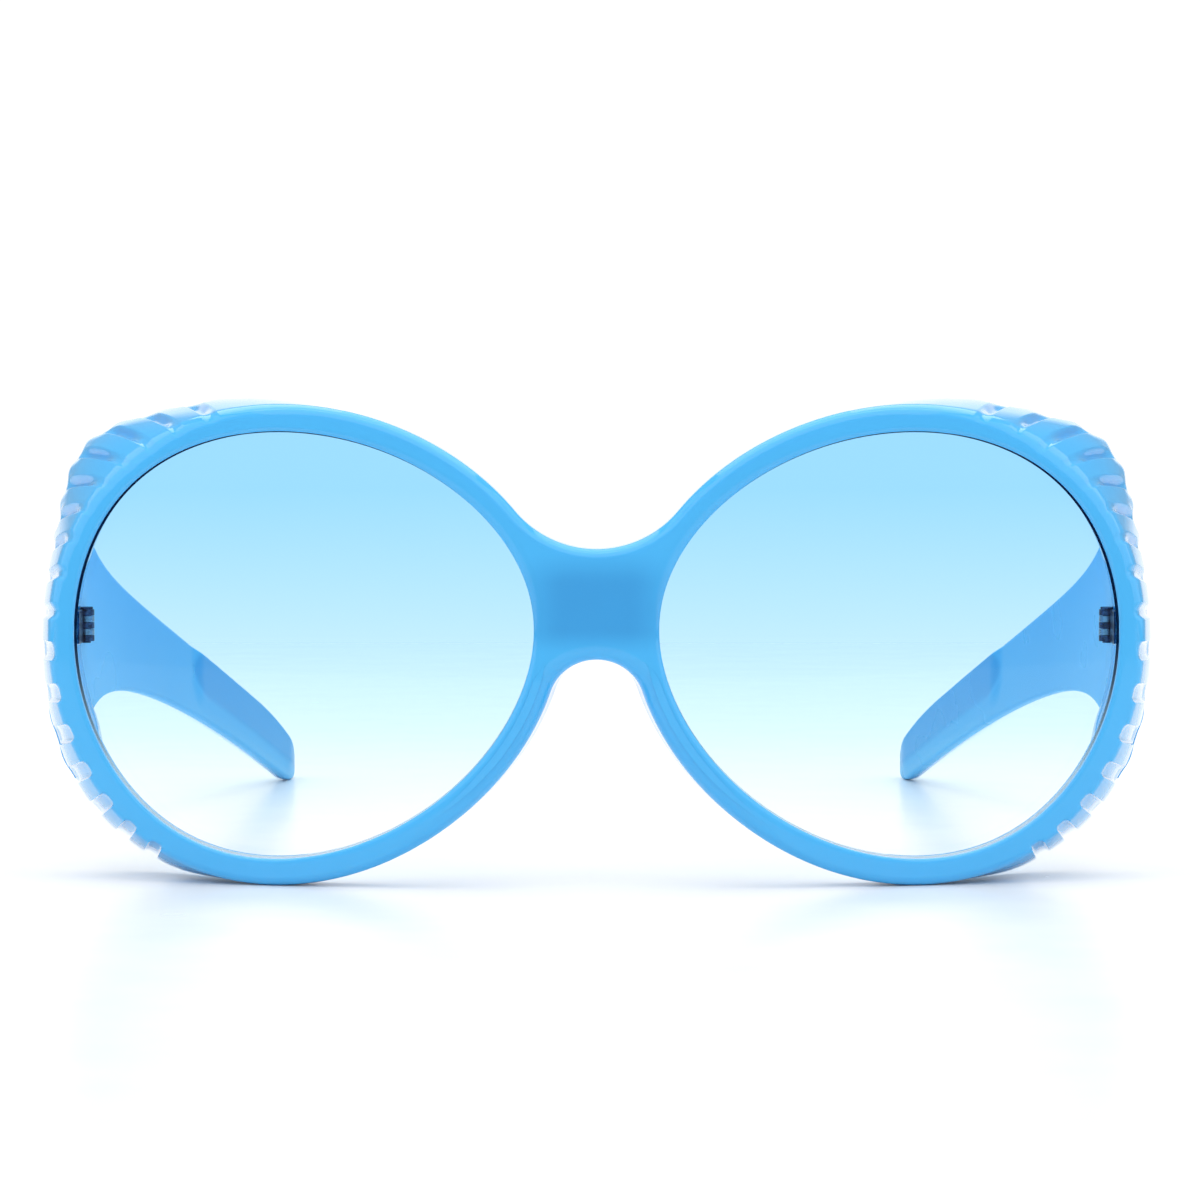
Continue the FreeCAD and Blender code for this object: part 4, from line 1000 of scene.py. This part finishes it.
def lens_mesh(side):
    """Make one lens: two wrapped faces joined by a ground edge that sits in the rim's groove."""
    lens = settings().lens
    angle = np.linspace(0, 360, LENS_STEPS, endpoint=False)
    # The ground border carries the painted groove shade: it shows on the upper half and fades out towards
    # the nose
    border = lens.ground * fade(np.sin(np.radians(angle)), *BORDER_SHARES) * (1 - nasal(angle))
    ground = lens_point(angle, -border)
    shares = np.linspace(0, 1, LENS_RINGS + 1)[1:]
    middle = ground.mean(axis=0)
    rings = [blend(middle, ground, share) for share in shares] + [lens_point(angle, lens.bevel)]

    def on_ball(spots, depth):
        return np.stack([spots[:, 0], front_y() + wrap(spots) + depth, spots[:, 1]], axis=-1)

    rows = [on_ball(ring, lens.setback) for ring in rings]
    rows += [on_ball(ring, lens.setback + lens.thickness) for ring in rings[::-1]]
    points = np.concatenate(rows) * np.array([SIDES[side], 1.0, 1.0])
    last = len(rows) - 1
    faces = grid_faces(len(rows), LENS_STEPS, lambda row, column: row != last)
    is_edge = [int(abs(index // LENS_STEPS - LENS_RINGS) <= 1) for index in range(len(faces))]
    faces.append(tuple(range(LENS_STEPS)))
    faces.append(tuple(last * LENS_STEPS + step for step in range(LENS_STEPS)))
    return new_object(f"lens_{side}_glass", points, faces, is_edge + [0, 0])


# Shader maths


class Socket:
    """A shader socket that can be used in expressions."""

    def __init__(self, tree, socket):
        self.tree = tree
        self.socket = socket

    def node(self, kind, settings_first=None, output=0, **sockets):
        """Add a node: its settings are set first, then its sockets' values and links."""
        return add_node(self.tree, kind, settings_first, output, **sockets)

    def math(self, operation, *values):
        """Return the result of a Math node that takes this socket, or the values given."""
        sockets = {f"in_{index}": value for index, value in enumerate(values or (self,))}
        return self.node("ShaderNodeMath", {"operation": operation}, **sockets)

    def __add__(self, other):
        return self.math("ADD", self, other)

    def __radd__(self, other):
        return self.math("ADD", other, self)

    def __sub__(self, other):
        return self.math("SUBTRACT", self, other)

    def __rsub__(self, other):
        return self.math("SUBTRACT", other, self)

    def __mul__(self, other):
        return self.math("MULTIPLY", self, other)

    def __rmul__(self, other):
        return self.math("MULTIPLY", other, self)


def add_node(tree, kind, settings_first=None, output=0, **sockets):
    """Add a shader node to a tree and return its output as an expression.

    A socket is named in lower case with underscores, or by its number as in_0.
    """
    node = tree.nodes.new(kind)
    for name, value in (settings_first or {}).items():
        setattr(node, name, value)
    enabled = [socket for socket in reversed(node.inputs) if socket.enabled]
    by_name = {socket.name.lower().replace(" ", "_"): socket for socket in enabled}
    for name, value in sockets.items():
        socket = node.inputs[int(name[3:])] if name.startswith("in_") else by_name[name]
        if isinstance(value, Socket):
            tree.links.new(value.socket, socket)
        else:
            socket.default_value = value
    return Socket(tree, node.outputs[output]) if node.outputs else None


def new_material(name):
    """Return a new material, its emptied node tree and the part's coordinates in it."""
    material = bpy.data.materials.new(name)
    material.use_nodes = True
    material.node_tree.nodes.clear()
    place = add_node(material.node_tree, "ShaderNodeTexCoord", output=3)
    return material, material.node_tree, place


def show(tree, shader):
    """Show a shader on the surface."""
    add_node(tree, "ShaderNodeOutputMaterial", surface=shader)


def show_principled(tree, **sockets):
    """Show a Principled BSDF on the surface."""
    show(tree, add_node(tree, "ShaderNodeBsdfPrincipled", **sockets))


def rgba(value):
    """Return a colour with full alpha."""
    return (*value, 1.0)


def mixed(tree, share, first, second):
    """Return two colours mixed by a share."""
    colours = {"in_6": rgba(first), "in_7": rgba(second)}
    return add_node(tree, "ShaderNodeMix", {"data_type": "RGBA"}, output=2, in_0=share, **colours)


def smooth_range(tree, value, start, end):
    """Return a share that rises smoothly from 0 at start to 1 at end."""
    return add_node(
        tree,
        "ShaderNodeMapRange",
        {"interpolation_type": "SMOOTHSTEP"},
        value=value,
        from_min=start,
        from_max=end,
    )


def painted_bridge_shade(tree, place):
    """Return the painted shade on the bridge: a deeper blue over its thick middle, which takes less light
    than the thin rims, fading out towards its top and arch.
    """
    across = add_node(tree, "ShaderNodeSeparateXYZ", output=0, vector=place).math("ABSOLUTE")
    height = add_node(tree, "ShaderNodeSeparateXYZ", output=2, vector=place)
    thick = smooth_range(tree, height, *BRIDGE_SHADE_TOP) * smooth_range(tree, height, *BRIDGE_SHADE_LOW)
    return thick * smooth_range(tree, across, *BRIDGE_SHADE_SIDE) * BRIDGE_SHADE


def painted_arm_shade(tree, place):
    """Return the painted light and shade inside a temple: lighter at the hinge, where light comes through
    the lens, a deeper blue towards its tip, and deeper still on the tip pad.
    """
    temple, fan = settings().temple, temple_fan()
    along = add_node(tree, "ShaderNodeSeparateXYZ", output=1, vector=place)
    height = add_node(tree, "ShaderNodeSeparateXYZ", output=2, vector=place)
    share = (along - temple_y()) * (1 / temple.reach)
    drop = fan.middle - middle_line(temple.reach, fan)
    above = height + share.math("POWER", share, DROP_POWER) * drop - fan.middle
    pad_y = temple_y() + temple.reach - temple.pad_length
    beside = (above - temple.half_height / 2) * (1 / temple.half_height)
    into_pad = along - beside * beside * temple.pad_nose
    pad = smooth_range(tree, into_pad, pad_y, pad_y + temple.pad_front / 2)
    pad = pad * smooth_range(tree, above, *PAD_SHADE_LOW)
    return smooth_range(tree, share, *ARM_SHADE_RUN) * ARM_SHADE + pad * ARM_SHADE


def plastic_material(name, colours, shade, smoothness, gloss, coat):
    """Light blue plastic with slow flow marks in its colour, gloss and surface, and painted light and shade
    mixed between its two colours by a mask.
    """
    material, tree, place = new_material(name)
    flow = add_node(tree, "ShaderNodeTexNoise", vector=place, scale=45.0, detail=3.0, roughness=0.45)
    blue = mixed(tree, flow * 0.2 + shade(tree, place), *colours)
    normal = add_node(tree, "ShaderNodeBump", strength=0.02, distance=0.0006, height=flow)
    show_principled(
        tree,
        base_color=blue,
        roughness=smoothness + flow * 0.06,
        specular_ior_level=gloss,
        normal=normal,
        coat_weight=coat,
        coat_roughness=0.03,
    )
    return material


def lens_level(tree, place):
    """Return the height on the lens as a share, with a faint flow of the dye."""
    lowest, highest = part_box("lens_left")
    height = add_node(tree, "ShaderNodeSeparateXYZ", output=2, vector=place)
    dye = add_node(tree, "ShaderNodeTexNoise", vector=place, scale=30.0, detail=2.0)
    return (height - lowest.z) * (1 / (highest.z - lowest.z)) + (dye - 0.5) * 0.02


def lens_material():
    """Gradient lens: blue at the top, clear at the bottom, with a faint gloss."""
    finish = settings().finish
    material, tree, place = new_material("lens_gradient")
    level = lens_level(tree, place)
    lower, upper = (
        add_node(tree, "ShaderNodeMapRange", value=level, from_min=start, from_max=end)
        for start, end in (LOWER_TINT_LEVELS, UPPER_TINT_LEVELS)
    )
    clear = add_node(tree, "ShaderNodeBsdfTransparent", color=(1.0, 1.0, 1.0, 1.0))
    cyan = add_node(tree, "ShaderNodeBsdfTransparent", color=rgba(finish.lens_middle))
    blue = add_node(tree, "ShaderNodeBsdfTransparent", color=rgba(finish.lens_top))
    tint = add_node(tree, "ShaderNodeMixShader", in_0=lower, in_1=clear, in_2=cyan)
    tint = add_node(tree, "ShaderNodeMixShader", in_0=upper, in_1=tint, in_2=blue)
    gloss = add_node(
        tree, "ShaderNodeBsdfPrincipled", base_color=(1.0, 1.0, 1.0, 1.0), roughness=0.02, metallic=1.0
    )
    edge_on = add_node(tree, "ShaderNodeLayerWeight", output=1, blend=0.5)
    share = edge_on.math("POWER", edge_on, GLOSS_POWER) * GLOSS + LEAST_GLOSS
    show(tree, add_node(tree, "ShaderNodeMixShader", in_0=share, in_1=tint, in_2=gloss))
    return material


def lens_edge_material():
    """Ground lens edge: dark navy at the top, partly the tint seen end on and partly painted shade of the
    rim's groove, and pale at the bottom.
    """
    finish = settings().finish
    material, tree, place = new_material("lens_ground_edge")
    start, end = EDGE_TONE_LEVELS
    level = lens_level(tree, place)
    share = add_node(tree, "ShaderNodeMapRange", value=level, from_min=start, from_max=end)
    tone = mixed(tree, share, finish.lens_edge_low, finish.lens_edge)
    grind = add_node(tree, "ShaderNodeTexNoise", vector=place, scale=1800.0, detail=3.0)
    normal = add_node(tree, "ShaderNodeBump", strength=0.2, distance=0.0001, height=grind)
    show_principled(
        tree,
        base_color=tone,
        roughness=0.4 + grind * 0.2,
        ior=1.2,
        normal=normal,
    )
    return material


def metal_material(name, light, dark):
    """Nickel of the hinges, brushed round their axis and tarnished in places."""
    material, tree, place = new_material(name)
    stretch = {"operation": "MULTIPLY"}
    brush_place = add_node(tree, "ShaderNodeVectorMath", stretch, in_0=place, in_1=(900.0, 900.0, 9000.0))
    brush = add_node(tree, "ShaderNodeTexNoise", vector=brush_place, scale=1.0, detail=3.0)
    tarnish = add_node(tree, "ShaderNodeTexNoise", vector=place, scale=1500.0, detail=4.0)
    tone = mixed(tree, smooth_range(tree, tarnish, 0.38, 0.62), light, dark)
    normal = add_node(tree, "ShaderNodeBump", strength=0.2, distance=0.00005, height=brush)
    show_principled(
        tree,
        base_color=tone,
        metallic=1.0,
        roughness=0.2 + brush * 0.2,
        normal=normal,
    )
    return material


def floor_material():
    """Plain pale floor with a soft sheen."""
    material, tree, place = new_material("pale_floor")
    grain = add_node(tree, "ShaderNodeTexNoise", vector=place, scale=60.0, detail=2.0)
    show_principled(
        tree,
        base_color=rgba(settings().finish.floor),
        roughness=0.2 + grain * 0.1,
        specular_ior_level=0.3,
    )
    return material


# Operators


class SUNGLASSES_OT_front(bpy.types.Operator):
    """Make the moulded front with its fluted flanks."""

    bl_idname = "sunglasses.front"
    bl_label = "Front"

    def execute(self, context):
        piece = front_mesh()
        for side in SIDES:
            cut_seat(piece, side)
        smooth(piece)
        # The bridge's middle is painted a deeper blue as shade
        colours = settings().finish.plastic, settings().finish.plastic_deep
        for name, coat in (("frame_plastic_polished", 0.0), ("frame_plastic_lacquered", 0.7)):
            plastic = plastic_material(name, colours, painted_bridge_shade, smoothness=0.03, gloss=0.5, coat=coat)
            piece.data.materials.append(plastic)
        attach(piece, "front")
        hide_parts("frame_front")
        return {"FINISHED"}


class SUNGLASSES_OT_lenses(bpy.types.Operator):
    """Make both gradient lenses."""

    bl_idname = "sunglasses.lenses"
    bl_label = "Lenses"

    def execute(self, context):
        tint, edge = lens_material(), lens_edge_material()
        for side in SIDES:
            piece = lens_mesh(side)
            piece.data.materials.append(tint)
            piece.data.materials.append(edge)
            smooth(piece)
            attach(piece, "front")
            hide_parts(f"lens_{side}")
        return {"FINISHED"}


class SUNGLASSES_OT_temples(bpy.types.Operator):
    """Make both fan-shaped temples."""

    bl_idname = "sunglasses.temples"
    bl_label = "Temples"

    def execute(self, context):
        plastic = bpy.data.materials["frame_plastic_lacquered"]
        # The temples' insides are painted lighter at the hinge and a deeper blue towards the tip, as light
        # and shade
        colours = settings().finish.inside, settings().finish.inside_shaded
        satin = plastic_material(
            "frame_plastic_satin", colours, painted_arm_shade, smoothness=0.25, gloss=0.2, coat=0.0
        )
        for side in SIDES:
            piece = temple_mesh(side)
            cut_seat(piece, side)
            smooth(piece)
            piece.data.materials.append(plastic)
            piece.data.materials.append(satin)
            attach(piece, f"{side}_arm")
            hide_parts(f"temple_{side}")
        return {"FINISHED"}


class SUNGLASSES_OT_hinges(bpy.types.Operator):
    """Finish the hinge leaves and screws in nickel, painted light and dark for the barrels' alternating
    light and shade.
    """

    bl_idname = "sunglasses.hinges"
    bl_label = "Hinges"

    def execute(self, context):
        finish = settings().finish
        worn = [0.7 * part for part in finish.metal]
        bright = [3 * part for part in finish.metal_dark]
        light = metal_material("hinge_nickel", finish.metal, worn)
        dark = metal_material("hinge_dark_nickel", bright, finish.metal_dark)
        for name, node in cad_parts.items():
            if "hinge" not in name:
                continue
            node.data.materials.clear()
            # Painted light and shade: the temples' leaves get the light nickel, and the front's leaves and
            # the screws the shaded one
            node.data.materials.append(light if name.startswith("temple") else dark)
            bevel = node.modifiers.new("rounded edges", "BEVEL")
            bevel.width = settings().hinge.edge_round
            bevel.segments = 2
            bevel.limit_method = "ANGLE"
        return {"FINISHED"}


class SUNGLASSES_OT_stage(bpy.types.Operator):
    """Set up the floor, the light and the camera."""

    bl_idname = "sunglasses.stage"
    bl_label = "Stage"

    def execute(self, context):
        stage = settings().stage
        half, front, back = stage.floor_width / 2, -stage.floor_front, stage.floor_back
        corners = [(-half, front, 0.0), (half, front, 0.0), (half, back, 0.0), (-half, back, 0.0)]
        floor = new_object("stage_floor", corners, [(0, 1, 2, 3)])
        floor.data.materials.append(floor_material())
        add_world()
        add_lights()
        add_camera()
        context.scene.view_settings.view_transform = "Standard"
        return {"FINISHED"}


def add_world():
    """Surround the scene with a white backdrop behind, a grey studio and a dark camera side."""
    world = bpy.data.worlds.new("studio")
    world.use_nodes = True
    tree = world.node_tree
    tree.nodes.clear()
    direction = add_node(tree, "ShaderNodeTexCoord", output=0)
    behind = add_node(tree, "ShaderNodeSeparateXYZ", output=1, vector=direction)
    shader = None
    for strength, start, end in STUDIO_ZONES:
        zone = add_node(tree, "ShaderNodeBackground", color=(1.0, 1.0, 1.0, 1.0), strength=strength)
        if shader:
            share = add_node(tree, "ShaderNodeMapRange", value=behind, from_min=start, from_max=end)
            zone = add_node(tree, "ShaderNodeMixShader", in_0=share, in_1=shader, in_2=zone)
        shader = zone
    add_node(tree, "ShaderNodeOutputWorld", surface=shader)
    bpy.context.scene.world = world


def add_lights():
    """Add soft boxes above and at both sides."""
    for name, (place, width, power) in SOFT_BOXES.items():
        lamp = bpy.data.lights.new(name, "AREA")
        lamp.size = width
        lamp.energy = power
        light = bpy.data.objects.new(name, lamp)
        light.location = place
        light.rotation_euler = (LIGHT_TARGET - light.location).to_track_quat("-Z", "Y").to_euler()
        bpy.context.scene.collection.objects.link(light)


def add_camera():
    """Put the camera where the photograph was taken from."""
    stage = settings().stage
    view = bpy.data.cameras.new("camera")
    view.lens = stage.focal_length
    view.sensor_width = SENSOR_WIDTH
    view.clip_start = CLIP_START
    camera = bpy.data.objects.new("camera", view)
    camera.location = (stage.camera_offset, front_y() - stage.camera_distance, stage.camera_height)
    camera.rotation_euler = (math.radians(90 - stage.camera_tilt), 0.0, 0.0)
    bpy.context.scene.collection.objects.link(camera)
    bpy.context.scene.camera = camera


class SUNGLASSES_PT_panel(bpy.types.Panel):
    """Lists the pieces of the sunglasses."""

    bl_idname = "SUNGLASSES_PT_panel"
    bl_label = "Sunglasses"
    bl_space_type = "VIEW_3D"
    bl_region_type = "UI"
    bl_category = "Sunglasses"

    def draw(self, context):
        for operator in OPERATORS:
            self.layout.operator(operator.bl_idname)
        for group in SunglassesSettings.__annotations__:
            box = self.layout.box()
            box.label(text=group.capitalize())
            part = getattr(settings(), group)
            for name in part.__annotations__:
                box.prop(part, name)


GROUPS = (
    LensSizes,
    RimSizes,
    FlankSizes,
    TempleSizes,
    HingeSizes,
    FinishColours,
    StageSizes,
    SunglassesSettings,
)
OPERATORS = (
    SUNGLASSES_OT_front,
    SUNGLASSES_OT_lenses,
    SUNGLASSES_OT_temples,
    SUNGLASSES_OT_hinges,
    SUNGLASSES_OT_stage,
)


def register():
    """Register the classes and the scene's settings."""
    for each in (*GROUPS, *OPERATORS, SUNGLASSES_PT_panel):
        bpy.utils.register_class(each)
    bpy.types.Scene.sunglasses = bpy.props.PointerProperty(type=SunglassesSettings)


def unregister():
    """Remove the settings and the classes."""
    del bpy.types.Scene.sunglasses
    for each in reversed((*GROUPS, *OPERATORS, SUNGLASSES_PT_panel)):
        bpy.utils.unregister_class(each)


def main():
    """Dress the part."""
    register()
    bpy.ops.sunglasses.front()
    bpy.ops.sunglasses.lenses()
    bpy.ops.sunglasses.temples()
    bpy.ops.sunglasses.hinges()
    bpy.ops.sunglasses.stage()


if __name__ == "__main__":
    main()
